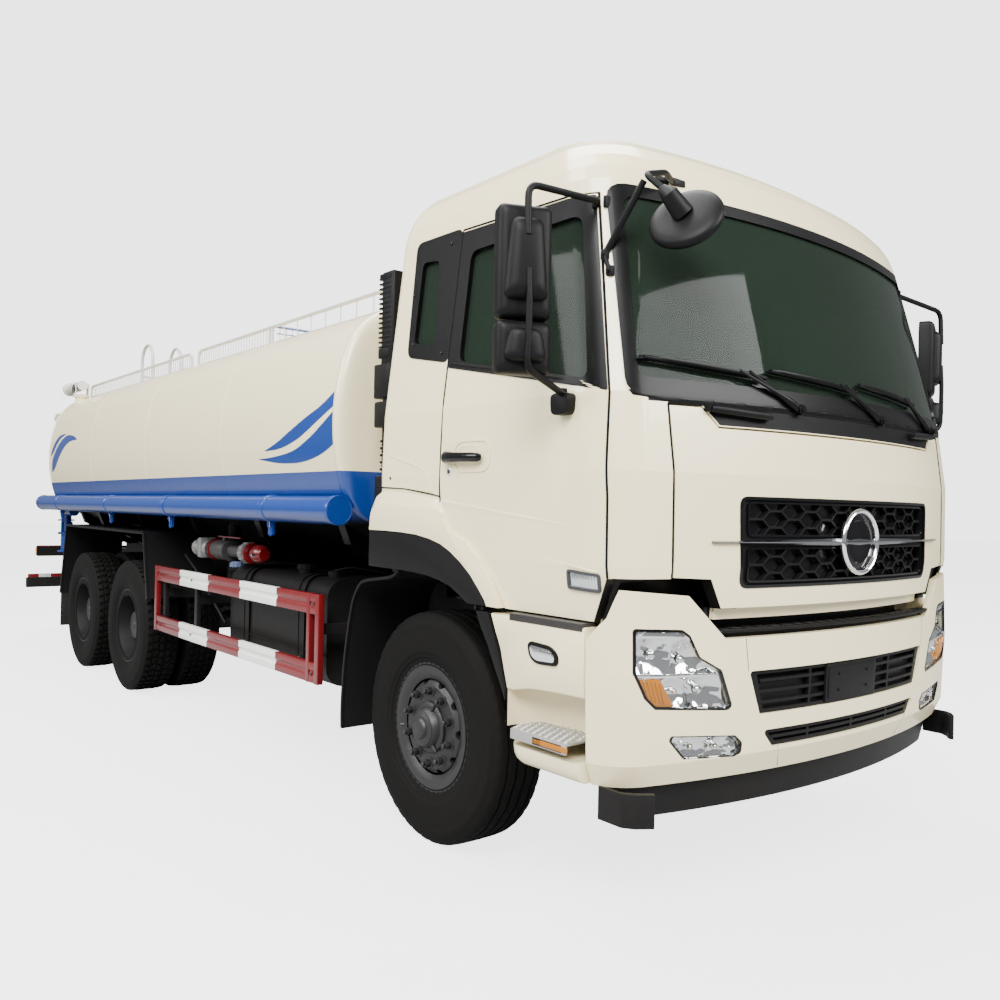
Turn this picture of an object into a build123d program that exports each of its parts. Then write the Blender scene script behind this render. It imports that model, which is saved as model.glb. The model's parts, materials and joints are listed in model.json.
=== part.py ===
"""Six-wheel tanker truck: tilting cab-over cab, ladder frame, oval tank, doors, front lid,
steered front wheels, twin-tyred rear wheels, a manhole lid and a water cannon that swivels.

Millimetres. X runs across the truck, with the left side at +X. Y runs rearwards and Z upwards.
Inside this file Y is counted from the front axle and Z from the ground; put() moves every piece
so that the origin is on the ground under the middle of the overall length.
"""
from build123d import *
from functools import cache
from math import acos, cos, pi, radians, sin, sqrt
import os

os.makedirs("parts", exist_ok=True)

# ---------------------------------------------------------------- driving dimensions
FRONT_END_Y = -1500            # emblem ring on the front lid
REAR_END_Y = 8240              # underrun bar
MIDDLE_Y = (FRONT_END_Y + REAR_END_Y) / 2

TYRE_RADIUS = 535
TYRE_FLATS = 32                # the tyre is drawn with this many flats, one of them on the ground
RIM_SEAT_RADIUS = 262
FRONT_WHEEL_X = 1020
OUTER_TWIN_X = 1094
TWIN_SPACING = 328
WHEELBASE = 4350
TANDEM = 1350
REAR_AXLE_YS = (WHEELBASE, WHEELBASE + TANDEM)
TANDEM_MIDDLE_Y = WHEELBASE + TANDEM / 2

RAIL_OUTER_X = 430
RAIL_BOTTOM_Z = 750
RAIL_TOP_Z = 1030
RAIL_FLANGE = 80
RAIL_THICK = 10
RAIL_FRONT_Y = -1140
RAIL_REAR_Y = 7940
BEARER_TOP_Z = 1110            # timber-packed bearer between rail and tank saddles

TANK_FRONT_Y = 850
TANK_REAR_Y = 7170
TANK_TOP_Z = 2750
TANK_BOTTOM_Z = 1200

FRONT_CURVE_RADIUS = 3800      # plan radius of lid, windscreen and bumper
WALL = 66                      # whole cab wall or door, outer skin to inner lining
DOOR_THICK = 60
LID_THICK = 36
BULKHEAD_INSET = 46            # the sheet behind the front lid
SEAM = 7                       # gap round doors and lid
GLASS_INSET = 8
GLASS_THICK = 8

FLOOR_TOP_Z = 1190
RAISED_FLOOR_TOP_Z = 1470
TUNNEL_HALF_WIDTH = 400


# ---------------------------------------------------------------- helpers
def put(node, *pieces):
    """Join a node's pieces, move them into the row frame and write parts/NODE.step."""
    shape = Part() + list(pieces)
    moved = Pos(0, -MIDDLE_Y, 0) * shape
    moved.label = node
    export_step(moved, f"parts/{node}.step")


def block(x, y, z):
    """A box from its low and high X, Y and Z."""
    size = Box(x[1] - x[0], y[1] - y[0], z[1] - z[0])
    return Pos((x[0] + x[1]) / 2, (y[0] + y[1]) / 2, (z[0] + z[1]) / 2) * size


def rounded(face, radius):
    return fillet(face.vertices(), radius) if radius else face


def side_prism(outline, x, radius=0):
    """Extrude an outline of (y, z) points from x[0] to x[1]."""
    face = make_face(Polyline(*[(0, y, z) for y, z in outline], close=True))
    return Pos(x[0], 0, 0) * extrude(rounded(face, radius), amount=x[1] - x[0], dir=(1, 0, 0))


def front_prism(outline, y, radius=0):
    """Extrude an outline of (x, z) points from y[0] to y[1]."""
    face = make_face(Polyline(*[(px, 0, z) for px, z in outline], close=True))
    return Pos(0, y[0], 0) * extrude(rounded(face, radius), amount=y[1] - y[0], dir=(0, 1, 0))


def mirrored_outline(half):
    """Close a right-hand half outline of (x, z) points with its mirror image."""
    return half + [(-x, z) for x, z in reversed(half) if x]


def rod(start, end, radius):
    """A round bar between two points."""
    a, b = Vector(*start), Vector(*end)
    bar = Cylinder(radius, (b - a).length, align=(Align.CENTER, Align.CENTER, Align.MIN))
    return Plane(origin=a, z_dir=b - a) * bar


def pipe(points, radius, bend):
    """A bent tube through the points, each corner rounded to the bend radius."""
    path = FilletPolyline(*points, radius=bend)
    section = Plane(origin=path @ 0, z_dir=path % 0) * Circle(radius)
    return sweep(section, path)


def left(shape):
    """The same piece on the other side of the truck."""
    return mirror(shape, about=Plane.YZ)

def both(shape):
    return [shape, left(shape)]


def turned(profile, centre):
    """Revolve a closed profile of (x, radius) points about a wheel's axis through the centre."""
    face = make_face(Polyline(*[(x, 0, r) for x, r in profile], close=True))
    return Pos(*centre) * revolve(face, Axis.X, 360)


# ---------------------------------------------------------------- the cab's outer form
# Plan sections from sill to crown: height, half width, front of centre line, rear, front corner radius.
CAB_SECTIONS = [
    (1150, 1216, -1452, 352, 200),
    (1350, 1240, -1472, 352, 205),
    (1700, 1246, -1470, 352, 210),
    (1990, 1236, -1430, 352, 215),
    (2840, 1138, -1198, 350, 215),
    (2900, 1122, -1176, 348, 220),
    (2960, 1096, -1138, 344, 230),
    (3020, 1058, -1080, 336, 240),
    (3075, 1000, -996, 316, 250),
    (3125, 908, -890, 262, 260),
    (3162, 770, -780, 160, 260),
    (3186, 560, -640, 10, 240),
]
ROOF_SEAM_Z = 2850


def plan_section(z, half_width, front_y, rear_y, corner, rear_corner=70):
    """Closed plan outline: bowed front, rounded front corners, straight sides, rounded rear corners."""
    bow = FRONT_CURVE_RADIUS
    bow_y = front_y + bow
    corner_x = half_width - corner
    corner_y = bow_y - sqrt((bow - corner) ** 2 - corner_x ** 2)
    lean = acos((bow_y - corner_y) / (bow - corner))
    tangent = (bow * sin(lean), bow_y - bow * cos(lean))
    middle_angle = (lean + pi / 2) / 2
    corner_middle = (corner_x + corner * sin(middle_angle), corner_y - corner * cos(middle_angle))
    rear_middle = rear_corner * sin(pi / 4)
    rear_x = half_width - rear_corner
    right = [(half_width, corner_y), (half_width, rear_y - rear_corner)]
    rear_arc = (rear_x + rear_middle, rear_y - rear_corner + rear_middle)

    def at(point, side=1):
        return (side * point[0], point[1], z)

    edges = [ThreePointArc(at(tangent, -1), (0, front_y, z), at(tangent))]
    edges.append(ThreePointArc(at(tangent), at(corner_middle), at(right[0])))
    edges.append(Line(at(right[0]), at(right[1])))
    edges.append(ThreePointArc(at(right[1]), at(rear_arc), (rear_x, rear_y, z)))
    edges.append(Line((rear_x, rear_y, z), (-rear_x, rear_y, z)))
    edges.append(ThreePointArc((-rear_x, rear_y, z), at(rear_arc, -1), at(right[1], -1)))
    edges.append(Line(at(right[1], -1), at(right[0], -1)))
    edges.append(ThreePointArc(at(right[0], -1), at(corner_middle, -1), at(tangent, -1)))
    return make_face(Wire(edges))


@cache
def cab_form(inset):
    """The cab's outer form shrunk by a wall's depth; its roof comes down by as much."""
    faces = []
    for z, half_width, front_y, rear_y, corner in CAB_SECTIONS:
        level = z - inset if z > ROOF_SEAM_Z else z
        radius = max(corner - inset, 60)
        faces.append(plan_section(level, half_width - inset, front_y + inset, rear_y - inset, radius))
    return loft(faces, ruled=True)


CAB_OUTER = cab_form(0)
CAB_INNER = cab_form(WALL)
SKIN_FRONT = (-1700, -700)      # Y range that holds every front panel

# Door outline seen from the side, (y, z): sill, wheel-arch cut, rear edge, roof edge, front edge.
DOOR_OUTLINE = [
    (-1177, 1150), (-635, 1150), (-585, 1240), (-500, 1340), (-400, 1410), (-275, 1450), (-205, 1530),
    (-192, 1640), (-192, 2800), (-1010, 2772), (-1186, 1985), (-1206, 1600), (-1206, 1310),
]
DOOR_WINDOW = [(-1122, 2022), (-262, 2184), (-262, 2742), (-985, 2705)]
REAR_WINDOW = mirrored_outline([(0, 2050), (480, 2050), (480, 2500), (0, 2500)])
REAR_WALL = (200, 500)
QUARTER_WINDOW = [(-110, 2230), (120, 2262), (120, 2742), (-110, 2738)]
# Underside of the cab seen from the side: wheel arch between sill and rear wall.
ARCH_OUTLINE = [
    (-640, 1100), (-640, 1150), (-590, 1240), (-505, 1340), (-405, 1412), (-275, 1452), (-60, 1470),
    (400, 1480), (400, 1100),
]
# Nothing of the cab lies ahead of this line beside the bumper's corners, so the cab can tilt.
BUMPER_CLEARANCE = [(-1600, 1312), (-1230, 1312), (-1168, 1150), (-1168, 1100), (-1600, 1100)]

LID_OUTLINE = mirrored_outline([
    (0, 1197), (774, 1197), (832, 1308), (998, 1316), (998, 1946), (862, 1946), (790, 1872), (0, 1872),
])
LID_OUTLINE_GAP = mirrored_outline([
    (0, 1150), (800, 1150), (846, 1302), (1006, 1308), (1006, 1954), (858, 1954), (786, 1880), (0, 1880),
])
COWL_OUTLINE = mirrored_outline([(0, 1884), (784, 1884), (856, 1958), (1085, 1958), (1085, 1984), (0, 1984)])
WINDSCREEN_OUTLINE = mirrored_outline([(0, 1992), (1120, 1992), (1030, 2800), (0, 2812)])
GRILLE_OUTLINE = [(-700, 1270), (700, 1270), (708, 1620), (-708, 1620)]


@cache
def skin(outer_inset, inner_inset):
    """The layer of the cab's form between two depths."""
    return cab_form(outer_inset) - cab_form(inner_inset)


def grown(outline, gap, middle):
    """Push an outline's points away from a middle point by the gap, along Y and Z each."""
    return [(y + (gap if y > middle[0] else -gap), z + (gap if z > middle[1] else -gap)) for y, z in outline]


# ---------------------------------------------------------------- cab shell, floor and glass
RIGHT_SIDE = (-1400, -1000)
LEFT_SIDE = (1000, 1400)
DOOR_MIDDLE = (-700, 1500)


def build_cab_shell():
    shell = CAB_OUTER - CAB_INNER
    for side in (RIGHT_SIDE, LEFT_SIDE):
        shell -= side_prism(grown(DOOR_OUTLINE, SEAM, DOOR_MIDDLE), side)
        shell -= side_prism(QUARTER_WINDOW, side, 40)
    shell -= side_prism(ARCH_OUTLINE, (-1300, 1300))
    for side in ((-1400, -760), (760, 1400)):
        shell -= side_prism(BUMPER_CLEARANCE, side)
    shell -= front_prism(LID_OUTLINE_GAP, SKIN_FRONT) - cab_form(BULKHEAD_INSET)
    shell -= front_prism(COWL_OUTLINE, SKIN_FRONT) - cab_form(30)
    shell -= front_prism(WINDSCREEN_OUTLINE, SKIN_FRONT, 70)
    shell -= front_prism(REAR_WINDOW, REAR_WALL, 60)
    return shell


def build_cab_floor():
    """Footwell, raised floor over the wheels, risers and the engine tunnel, one pressing."""
    thick = 40
    tunnel_top = 1590
    low = FLOOR_TOP_Z - thick
    profile = [
        (-1290, low), (-600, low), (-600, RAISED_FLOOR_TOP_Z), (286, RAISED_FLOOR_TOP_Z),
        (286, RAISED_FLOOR_TOP_Z + thick), (-640, RAISED_FLOOR_TOP_Z + thick),
        (-640, FLOOR_TOP_Z), (-1290, FLOOR_TOP_Z),
    ]
    floor = side_prism(profile, (-1180, 1180))
    floor -= block((-TUNNEL_HALF_WIDTH, TUNNEL_HALF_WIDTH), (-880, 400), (1000, 1700))
    half = TUNNEL_HALF_WIDTH + thick
    tunnel = block((-half, half), (-920, 286), (low, tunnel_top + thick))
    tunnel -= block((-TUNNEL_HALF_WIDTH, TUNNEL_HALF_WIDTH), (-880, 400), (low - 10, tunnel_top))
    tunnel -= block((-1000, 1000), (-598, 400), (1000, RAISED_FLOOR_TOP_Z))
    floor = (floor + tunnel) & CAB_INNER
    for side in ((-1400, -750), (750, 1400)):
        floor -= side_prism(BUMPER_CLEARANCE, side)
    return floor


CAB_SHELL = build_cab_shell()
CAB_FLOOR = build_cab_floor() - CAB_SHELL
WINDSCREEN = skin(GLASS_INSET, GLASS_INSET + GLASS_THICK) & front_prism(WINDSCREEN_OUTLINE, SKIN_FRONT, 70)
SIDE_GLASS = skin(GLASS_INSET + 10, GLASS_INSET + 10 + GLASS_THICK)
QUARTER_GLASS = both(SIDE_GLASS & side_prism(QUARTER_WINDOW, RIGHT_SIDE, 40))
REAR_GLASS = block((-480, 480), (352 - 30, 352 - 22), (2050, 2500))
REAR_GLASS = REAR_GLASS & front_prism(REAR_WINDOW, REAR_WALL, 60)
COWL = skin(0, 30) & front_prism(COWL_OUTLINE, SKIN_FRONT)
FRONT_LID = skin(0, LID_THICK) & front_prism(LID_OUTLINE, SKIN_FRONT)
FRONT_LID -= front_prism(GRILLE_OUTLINE, SKIN_FRONT, 40)

put("cab_shell", CAB_SHELL)
put("cab_floor", CAB_FLOOR)
put("cab_glass", WINDSCREEN, REAR_GLASS, *QUARTER_GLASS)

# ---------------------------------------------------------------- wheel-arch flares on the cab
FLARE_OUTLINE = [
    (-576, 1150), (-493, 1322), (-396, 1392), (-270, 1430), (-60, 1448), (340, 1456), (340, 1254), (36, 1254),
    (-179, 1224), (-338, 1155),
]
put("arch_flares", *both(side_prism(FLARE_OUTLINE, (-1244, -1090))))

# ---------------------------------------------------------------- front lid with its grille
HONEYCOMB_BANDS = ((1298, 1418), (1474, 1594))     # low and high Z of the two open bands
BAND_HALF_WIDTH = 652
CELL_HALF = (68, 32)           # half width and half height of a flattened six-sided cell
CELL_WALL = 9
CELL_COLUMNS = 6


def honeycomb_cell(x, z):
    """Face of one open cell, its points to the left and right, less half a wall all round."""
    wide = CELL_HALF[0] - CELL_WALL / 2
    flat = CELL_HALF[0] / 2 - CELL_WALL / 4
    high = CELL_HALF[1] - CELL_WALL / 2
    corners = [(-wide, 0), (-flat, -high), (flat, -high), (wide, 0), (flat, high), (-flat, high)]
    return make_face(Polyline(*[(x + px, 0, z + pz) for px, pz in corners], close=True))


def honeycomb_band(low, high):
    """The open cells of one band: every second column stands half a cell higher."""
    half = BAND_HALF_WIDTH
    corners = [(-half, 0, low), (half, 0, low), (half, 0, high), (-half, 0, high)]
    window = fillet(make_face(Polyline(*corners, close=True)).vertices(), 20)
    cells = []
    for column in range(-CELL_COLUMNS, CELL_COLUMNS + 1):
        steps = (-2, 0, 2) if column % 2 else (-1, 1)
        for step in steps:
            cells.append(honeycomb_cell(column * 1.5 * CELL_HALF[0], (low + high) / 2 + step * CELL_HALF[1]))
    openings = [extrude(cell & window, amount=SKIN_FRONT[1] - SKIN_FRONT[0], dir=(0, 1, 0)) for cell in cells]
    return [Pos(0, SKIN_FRONT[0], 0) * opening for opening in openings]


def build_lid_grille():
    """Black grille panel with two bands of honeycomb cells."""
    panel = skin(10, 30) & front_prism(GRILLE_OUTLINE, SKIN_FRONT, 40)
    for low, high in HONEYCOMB_BANDS:
        panel -= honeycomb_band(low, high)
    return panel


RING_Z = 1446
RING_OUTER = 140
RING_INNER = 118


def build_grille_bar():
    """Grey bar across the lid, broken by a plain ring."""
    bar_half = mirrored_outline([(0, 1434), (640, 1437), (836, 1441), (836, 1451), (640, 1455), (0, 1458)])
    bar = skin(-16, 0) & front_prism(bar_half, SKIN_FRONT)
    ring_plane = Plane(origin=(0, FRONT_END_Y, RING_Z), z_dir=(0, 1, 0), x_dir=(1, 0, 0))
    disc = ring_plane * Cylinder(RING_OUTER, 60, align=(Align.CENTER, Align.CENTER, Align.MIN))
    hole = ring_plane * Cylinder(RING_INNER, 60, align=(Align.CENTER, Align.CENTER, Align.MIN))
    return ((bar + disc) - hole) - cab_form(0)


put("front_lid", FRONT_LID)
put("lid_grille", build_lid_grille())
put("grille_bar", build_grille_bar())

# ---------------------------------------------------------------- doors

def build_door(side):
    panel = (cab_form(0) - cab_form(DOOR_THICK)) & side_prism(DOOR_OUTLINE, side)
    panel -= side_prism(DOOR_WINDOW, side, 50)
    return panel


def build_door_glass(side):
    return SIDE_GLASS & side_prism(DOOR_WINDOW, side, 50)


MIRROR_TURN = -24               # the heads face the driver's eyes, not straight back


def mirror_head(low, high):
    """One head, broad across its glass and rounded towards the front."""
    head = fillet(Box(200, 84, high - low).edges(), 30)
    return Pos(-1470, -1018, (low + high) / 2) * (Rot(0, 0, MIRROR_TURN) * head)


def build_mirrors():
    """Large and wide-angle heads on one bent tube, for the right door."""
    corners = [
        (-1120, -1030, 2735), (-1500, -1072, 2700), (-1500, -1072, 2040), (-1300, -1030, 1990),
        (-1238, -1008, 1985),
    ]
    arm = pipe(corners, 13, 50)
    foot = fillet(block((-1280, -1210), (-1055, -960), (1905, 1998)).edges(), 12)
    return mirror_head(2232, 2640) + mirror_head(2035, 2225) + arm + foot


def build_handle():
    grip = block((-1275, -1250), (-450, -262), (1754, 1782))
    for y in ((-440, -410), (-300, -272)):
        grip += block((-1255, -1230), y, (1756, 1780))
    return grip


DOOR_RIGHT = build_door(RIGHT_SIDE)
DOOR_GLASS = build_door_glass(RIGHT_SIDE)
MIRRORS = (build_mirrors() + build_handle()) - CAB_OUTER
put("door_right", DOOR_RIGHT)
put("door_left", left(DOOR_RIGHT))
put("door_glass_right", DOOR_GLASS)
put("door_glass_left", left(DOOR_GLASS))
put("mirrors_right", MIRRORS)
put("mirrors_left", left(MIRRORS))

# ---------------------------------------------------------------- things on and in the cab

WIPER_PIVOTS = (-365, 224, 813)


def build_wipers():
    """Three arms with blades parked along the bottom of the windscreen."""
    pieces = []
    for pivot_x in WIPER_PIVOTS:
        bow = [(pivot_x + shift) ** 2 / 7600 for shift in (0, -260, -730, -170)]
        spindle = rod((pivot_x, -1400, 1972), (pivot_x, -1452 + bow[0], 1966), 14)
        elbow = (pivot_x - 260, -1428 + bow[1], 2100)
        arm = rod((pivot_x, -1446 + bow[0], 1966), elbow, 9)
        blade = rod((pivot_x - 730, -1418 + bow[2], 2118), (pivot_x - 170, -1424 + bow[3], 2084), 8)
        pieces.append(spindle + arm + blade)
    return pieces


def build_front_mirror():
    """Round kerb mirror at the right corner of the windscreen, on two stays."""
    disc = Plane(origin=(-985, -1352, 2622), z_dir=(-0.80, -0.33, 0.50)) * Cylinder(140, 44)
    disc = fillet(disc.edges(), 20)
    top_arm = pipe([(-760, -1090, 2872), (-1085, -1240, 2790), (-1030, -1340, 2645)], 12, 30)
    low_stay = rod((-1122, -1060, 2500), (-1082, -1244, 2770), 9)
    return disc + top_arm + low_stay


def build_dashboard():
    outline = [(-1340, 1500), (-1020, 1500), (-960, 1700), (-1010, 1900), (-1120, 1960), (-1340, 1960)]
    board = side_prism(outline, (-1110, 1110), 20) & CAB_INNER
    column = rod((560, -1060, 1640), (560, -860, 1830), 32)
    return board, column


def build_seats():
    seats = []
    for x in (-600, 600):
        base = block((x - 180, x + 180), (-430, -60), (RAISED_FLOOR_TOP_Z + 40, 1640))
        cushion = fillet(block((x - 250, x + 250), (-520, -10), (1640, 1760)).edges(), 30)
        back = Pos(x, 20, 2080) * (Rot(-10, 0, 0) * fillet(Box(480, 110, 720).edges(), 30))
        seats.append(base + cushion + back)
    return seats


STEERING_CENTRE = (560, -800, 1850)
STEERING_AXIS = (0, 0.72, 0.69)


def build_steering_wheel():
    plane = Plane(origin=STEERING_CENTRE, z_dir=STEERING_AXIS, x_dir=(1, 0, 0))
    rim = plane * Torus(225, 15)
    hub = plane * Cylinder(60, 40)
    spokes = [plane * (Rot(0, 0, turn) * (Pos(140, 0, 0) * Box(180, 34, 14))) for turn in (0, 180, 270)]
    return rim + hub + spokes


BOARD, COLUMN = build_dashboard()
STEERING_WHEEL = build_steering_wheel()
put("cowl_and_wipers", COWL, *[piece - CAB_SHELL - WINDSCREEN for piece in build_wipers()])
put("front_mirror", build_front_mirror() - CAB_OUTER)
put("dashboard", (BOARD + COLUMN) - CAB_SHELL - STEERING_WHEEL)
put("seats", *[seat - CAB_FLOOR for seat in build_seats()])
put("steering_wheel", STEERING_WHEEL)

# ---------------------------------------------------------------- bumper with lamps and grilles
BUMPER_SECTIONS = [
    (555, 1212, -1428, 200),
    (640, 1236, -1466, 205),
    (960, 1246, -1478, 205),
    (1290, 1246, -1468, 205),
]
BUMPER_THICK = 34
BUMPER_TOP = mirrored_outline([
    (0, 540), (1300, 540), (1300, 1282), (930, 1248), (800, 1118), (766, 1085), (0, 1085),
])
BUMPER_SIDE = [
    (-1600, 540), (-1142, 540), (-1142, 1088), (-1217, 1170), (-1256, 1290), (-1600, 1290),
]
HEADLAMP_OUTLINE = [
    (-1154, 1136), (-958, 1126), (-924, 1103), (-882, 1022), (-785, 970), (-728, 832), (-748, 816),
    (-1067, 842), (-1112, 884), (-1154, 975),
]
FOG_LAMP_OUTLINE = [
    (-998, 742), (-708, 719), (-671, 688), (-675, 648), (-706, 638), (-940, 650), (-1006, 724),
]
UPPER_INTAKE = mirrored_outline([(0, 787), (590, 787), (652, 956), (0, 956)])
LOWER_INTAKE = mirrored_outline([(0, 656), (516, 656), (572, 723), (0, 723)])
INTAKE_CORNER = 12
INTAKE_Y = (-1700, -1200)


@cache
def bumper_form(inset):
    faces = []
    for z, half_width, front_y, corner in BUMPER_SECTIONS:
        faces.append(plan_section(z, half_width - inset, front_y + inset, 0, corner - inset))
    return loft(faces, ruled=True)


@cache
def bumper_skin(outer_inset, inner_inset):
    return bumper_form(outer_inset) - bumper_form(inner_inset)


def build_bumper():
    bumper = bumper_skin(0, BUMPER_THICK)
    bumper &= front_prism(BUMPER_TOP, (-1700, 0))
    bumper &= side_prism(BUMPER_SIDE, (-1400, 1400))
    for outline in (UPPER_INTAKE, LOWER_INTAKE):
        bumper -= front_prism(outline, INTAKE_Y, INTAKE_CORNER)
    for lamp in (HEADLAMP_OUTLINE, FOG_LAMP_OUTLINE):
        hole = front_prism(lamp, (-1700, -1120), 12)
        bumper -= hole
        bumper -= left(hole)
    return bumper


def build_bumper_grilles():
    """Slatted inserts of both intakes."""
    pieces = []
    for outline, slats in ((UPPER_INTAKE, (830, 872, 914)), (LOWER_INTAKE, (690,))):
        insert = front_prism(outline, INTAKE_Y, INTAKE_CORNER)
        low, high = outline[0][1], max(point[1] for point in outline)
        half = outline[1][0] - 26
        window = mirrored_outline([(0, low + 16), (half, low + 16), (half + 40, high - 16), (0, high - 16)])
        insert -= front_prism(window, INTAKE_Y)
        for level in slats:
            insert += block((-half - 20, half + 20), INTAKE_Y, (level - 6, level + 6))
        for x in (-300, 0, 300):
            insert += block((x - 6, x + 6), INTAKE_Y, (low + 8, high - 8))
        pieces.append(bumper_skin(10, 30) & insert)
    return pieces


def build_air_dam():
    sections = [(430, 1120, -1380, 200), (555, 1185, -1400, 200)]

    def form(inset):
        faces = [plan_section(z, w - inset, y + inset, 0, c - inset) for z, w, y, c in sections]
        return loft(faces, ruled=True)
    dam = (form(0) - form(26)) & block((-1300, 1300), (-1600, -1150), (400, 555))
    return dam


BUMPER = build_bumper()
BUMPER_INNER_FRONT = bumper_form(BUMPER_THICK)
put("bumper", BUMPER)


def lamp_pair(outline, outer, inner):
    lamp = bumper_skin(outer, inner) & front_prism(outline, (-1700, -1120), 12)
    return both(lamp & side_prism(BUMPER_SIDE, (-1400, 0)))


put("front_lamps", *lamp_pair(HEADLAMP_OUTLINE, 2, 56), *lamp_pair(FOG_LAMP_OUTLINE, 4, 60))

LEDGE = bumper_skin(40, 160) & front_prism(
    mirrored_outline([(0, 1086), (764, 1086), (780, 1100), (0, 1100)]), (-1700, -1250))
put("bumper_trim", build_air_dam(), LEDGE - BUMPER, *build_bumper_grilles())

# ---------------------------------------------------------------- entry steps between bumper and wheel
STEP_OUTLINE = [
    (-1136, 545), (-700, 545), (-692, 640), (-678, 800), (-648, 1010), (-632, 1128), (-1136, 1128),
]


def build_step_fairing():
    fairing = side_prism(STEP_OUTLINE, (-1248, -900))
    fairing -= side_prism([(-1090, 700), (-740, 700), (-730, 860), (-1090, 860)], (-1300, -1040), 20)
    fairing -= block((-1300, -1000), (-1200, -600), (1094, 1140))
    fairing -= side_prism([(-1100, 560), (-760, 560), (-745, 660), (-1100, 660)], (-1180, -800))
    return fairing


def build_step_treads():
    lower = block((-1285, -1042), (-1088, -742), (660, 699))
    upper = block((-1252, -1002), (-1130, -640), (1094, 1114))
    return [lower, upper]


STEP_FAIRING = build_step_fairing()
TREADS = build_step_treads()
put("step_fairings", *both(STEP_FAIRING - TREADS[0]))
LOWER_TREAD = TREADS[0] - STEP_FAIRING - block((-1200, -800), (-1200, -700), (600, 662))
put("step_treads", *both(LOWER_TREAD), *both(TREADS[1]))

# ---------------------------------------------------------------- tank
TANK_MIDDLE_Z = (TANK_TOP_Z + TANK_BOTTOM_Z) / 2
# Right half of the tank's section: end of each arc and a point on the way, (x, z).
TANK_ARCS = [
    ((1060, 2548), (1152, 2400)),
    ((1215, 2010), (1152, 1620)),
    ((1068, 1512), (930, 1440)),
]
TANK_CROWN_EDGE = (900, 2648)


def tank_section(scale_by, y):
    """Tank section scaled about its own middle and set at y."""
    def at(point, side=1):
        return (side * point[0] * scale_by, y, TANK_MIDDLE_Z + (point[1] - TANK_MIDDLE_Z) * scale_by)
    edges = [ThreePointArc(at(TANK_CROWN_EDGE, -1), at((0, TANK_TOP_Z)), at(TANK_CROWN_EDGE))]
    start = TANK_CROWN_EDGE
    for through, end in TANK_ARCS:
        edges.append(ThreePointArc(at(start), at(through), at(end)))
        start = end
    edges.append(ThreePointArc(at(start), at((0, TANK_BOTTOM_Z)), at(start, -1)))
    for index in range(len(TANK_ARCS) - 1, -1, -1):
        through, end = TANK_ARCS[index]
        begin = TANK_ARCS[index - 1][1] if index else TANK_CROWN_EDGE
        edges.append(ThreePointArc(at(end, -1), at(through, -1), at(begin, -1)))
    return make_face(Wire(edges))


def build_tank_solid():
    body = extrude(tank_section(1.0, TANK_FRONT_Y), amount=TANK_REAR_Y - TANK_FRONT_Y, dir=(0, 1, 0))
    front = loft([tank_section(1.0, TANK_FRONT_Y), tank_section(0.985, TANK_FRONT_Y - 24)], ruled=True)
    front += loft([tank_section(0.94, TANK_FRONT_Y - 24), tank_section(0.80, TANK_FRONT_Y - 44),
                   tank_section(0.40, TANK_FRONT_Y - 62)], ruled=True)
    rear = loft([tank_section(1.0, TANK_REAR_Y), tank_section(0.985, TANK_REAR_Y + 24)], ruled=True)
    rear += loft([tank_section(0.94, TANK_REAR_Y + 24), tank_section(0.80, TANK_REAR_Y + 44),
                  tank_section(0.40, TANK_REAR_Y + 62)], ruled=True)
    return body + front + rear


TANK = build_tank_solid()
CANNON_X = -960
CANNON_Y = 6980
CANNON_BASE_Z = 2668
CANNON_PIVOT_Z = CANNON_BASE_Z + 110


def upright(z, radius):
    """A round piece on the cannon's upright axis."""
    return rod((CANNON_X, CANNON_Y, z[0]), (CANNON_X, CANNON_Y, z[1]), radius)


def along_barrel(y, radius):
    """A round piece along the barrel, its ends measured from the upright axis."""
    low = (CANNON_X, CANNON_Y + y[0], CANNON_PIVOT_Z)
    high = (CANNON_X, CANNON_Y + y[1], CANNON_PIVOT_Z)
    return rod(low, high, radius)


MANHOLE_Y = 4010
MANHOLE_RADIUS = 250
MANHOLE_TOP_Z = 2812
NECK = Pos(0, MANHOLE_Y, 0) * rod((0, 0, 2650), (0, 0, MANHOLE_TOP_Z), MANHOLE_RADIUS)
PEDESTAL = upright((2540, CANNON_BASE_Z), 55) + upright((CANNON_BASE_Z - 12, CANNON_BASE_Z), 78)
put("tank_shell", TANK + NECK + PEDESTAL)

LID_RADIUS = 275
MANHOLE_HINGE = (0, MANHOLE_Y - LID_RADIUS - 20, MANHOLE_TOP_Z + 14)
MANHOLE_LID = Pos(0, MANHOLE_Y, 0) * rod((0, 0, MANHOLE_TOP_Z + 1), (0, 0, MANHOLE_TOP_Z + 26), LID_RADIUS)
MANHOLE_LID += block((-60, 60), (MANHOLE_HINGE[1], MANHOLE_Y - 200), (MANHOLE_TOP_Z + 4, MANHOLE_TOP_Z + 24))
put("manhole_lid", MANHOLE_LID)

# Hose tubes along both sides, with bands and hanging lamp brackets.
HOSE_TUBE_X = -1196
HOSE_TUBE_Z = 1530
HOSE_TUBE_RADIUS = 77
HOSE_TUBE_ENDS = (830, 7440)
BRACKET_YS = (1650, 3400, 4930, 6650)


def build_hose_tube():
    def stretch(low, high, radius):
        return rod((HOSE_TUBE_X, low, HOSE_TUBE_Z), (HOSE_TUBE_X, high, HOSE_TUBE_Z), radius)

    tube = stretch(*HOSE_TUBE_ENDS, HOSE_TUBE_RADIUS)
    tube += stretch(HOSE_TUBE_ENDS[0] - 20, HOSE_TUBE_ENDS[1] + 20, HOSE_TUBE_RADIUS - 8)
    for y in BRACKET_YS:
        tube += stretch(y - 25, y + 25, HOSE_TUBE_RADIUS + 4)
        tube += block((HOSE_TUBE_X - 8, HOSE_TUBE_X + 8), (y - 30, y + 30), (1372, 1460))
        tube += block((-1196, -1050), (y - 12, y + 12), (1480, 1580)) - TANK
    return tube - TANK


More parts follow.
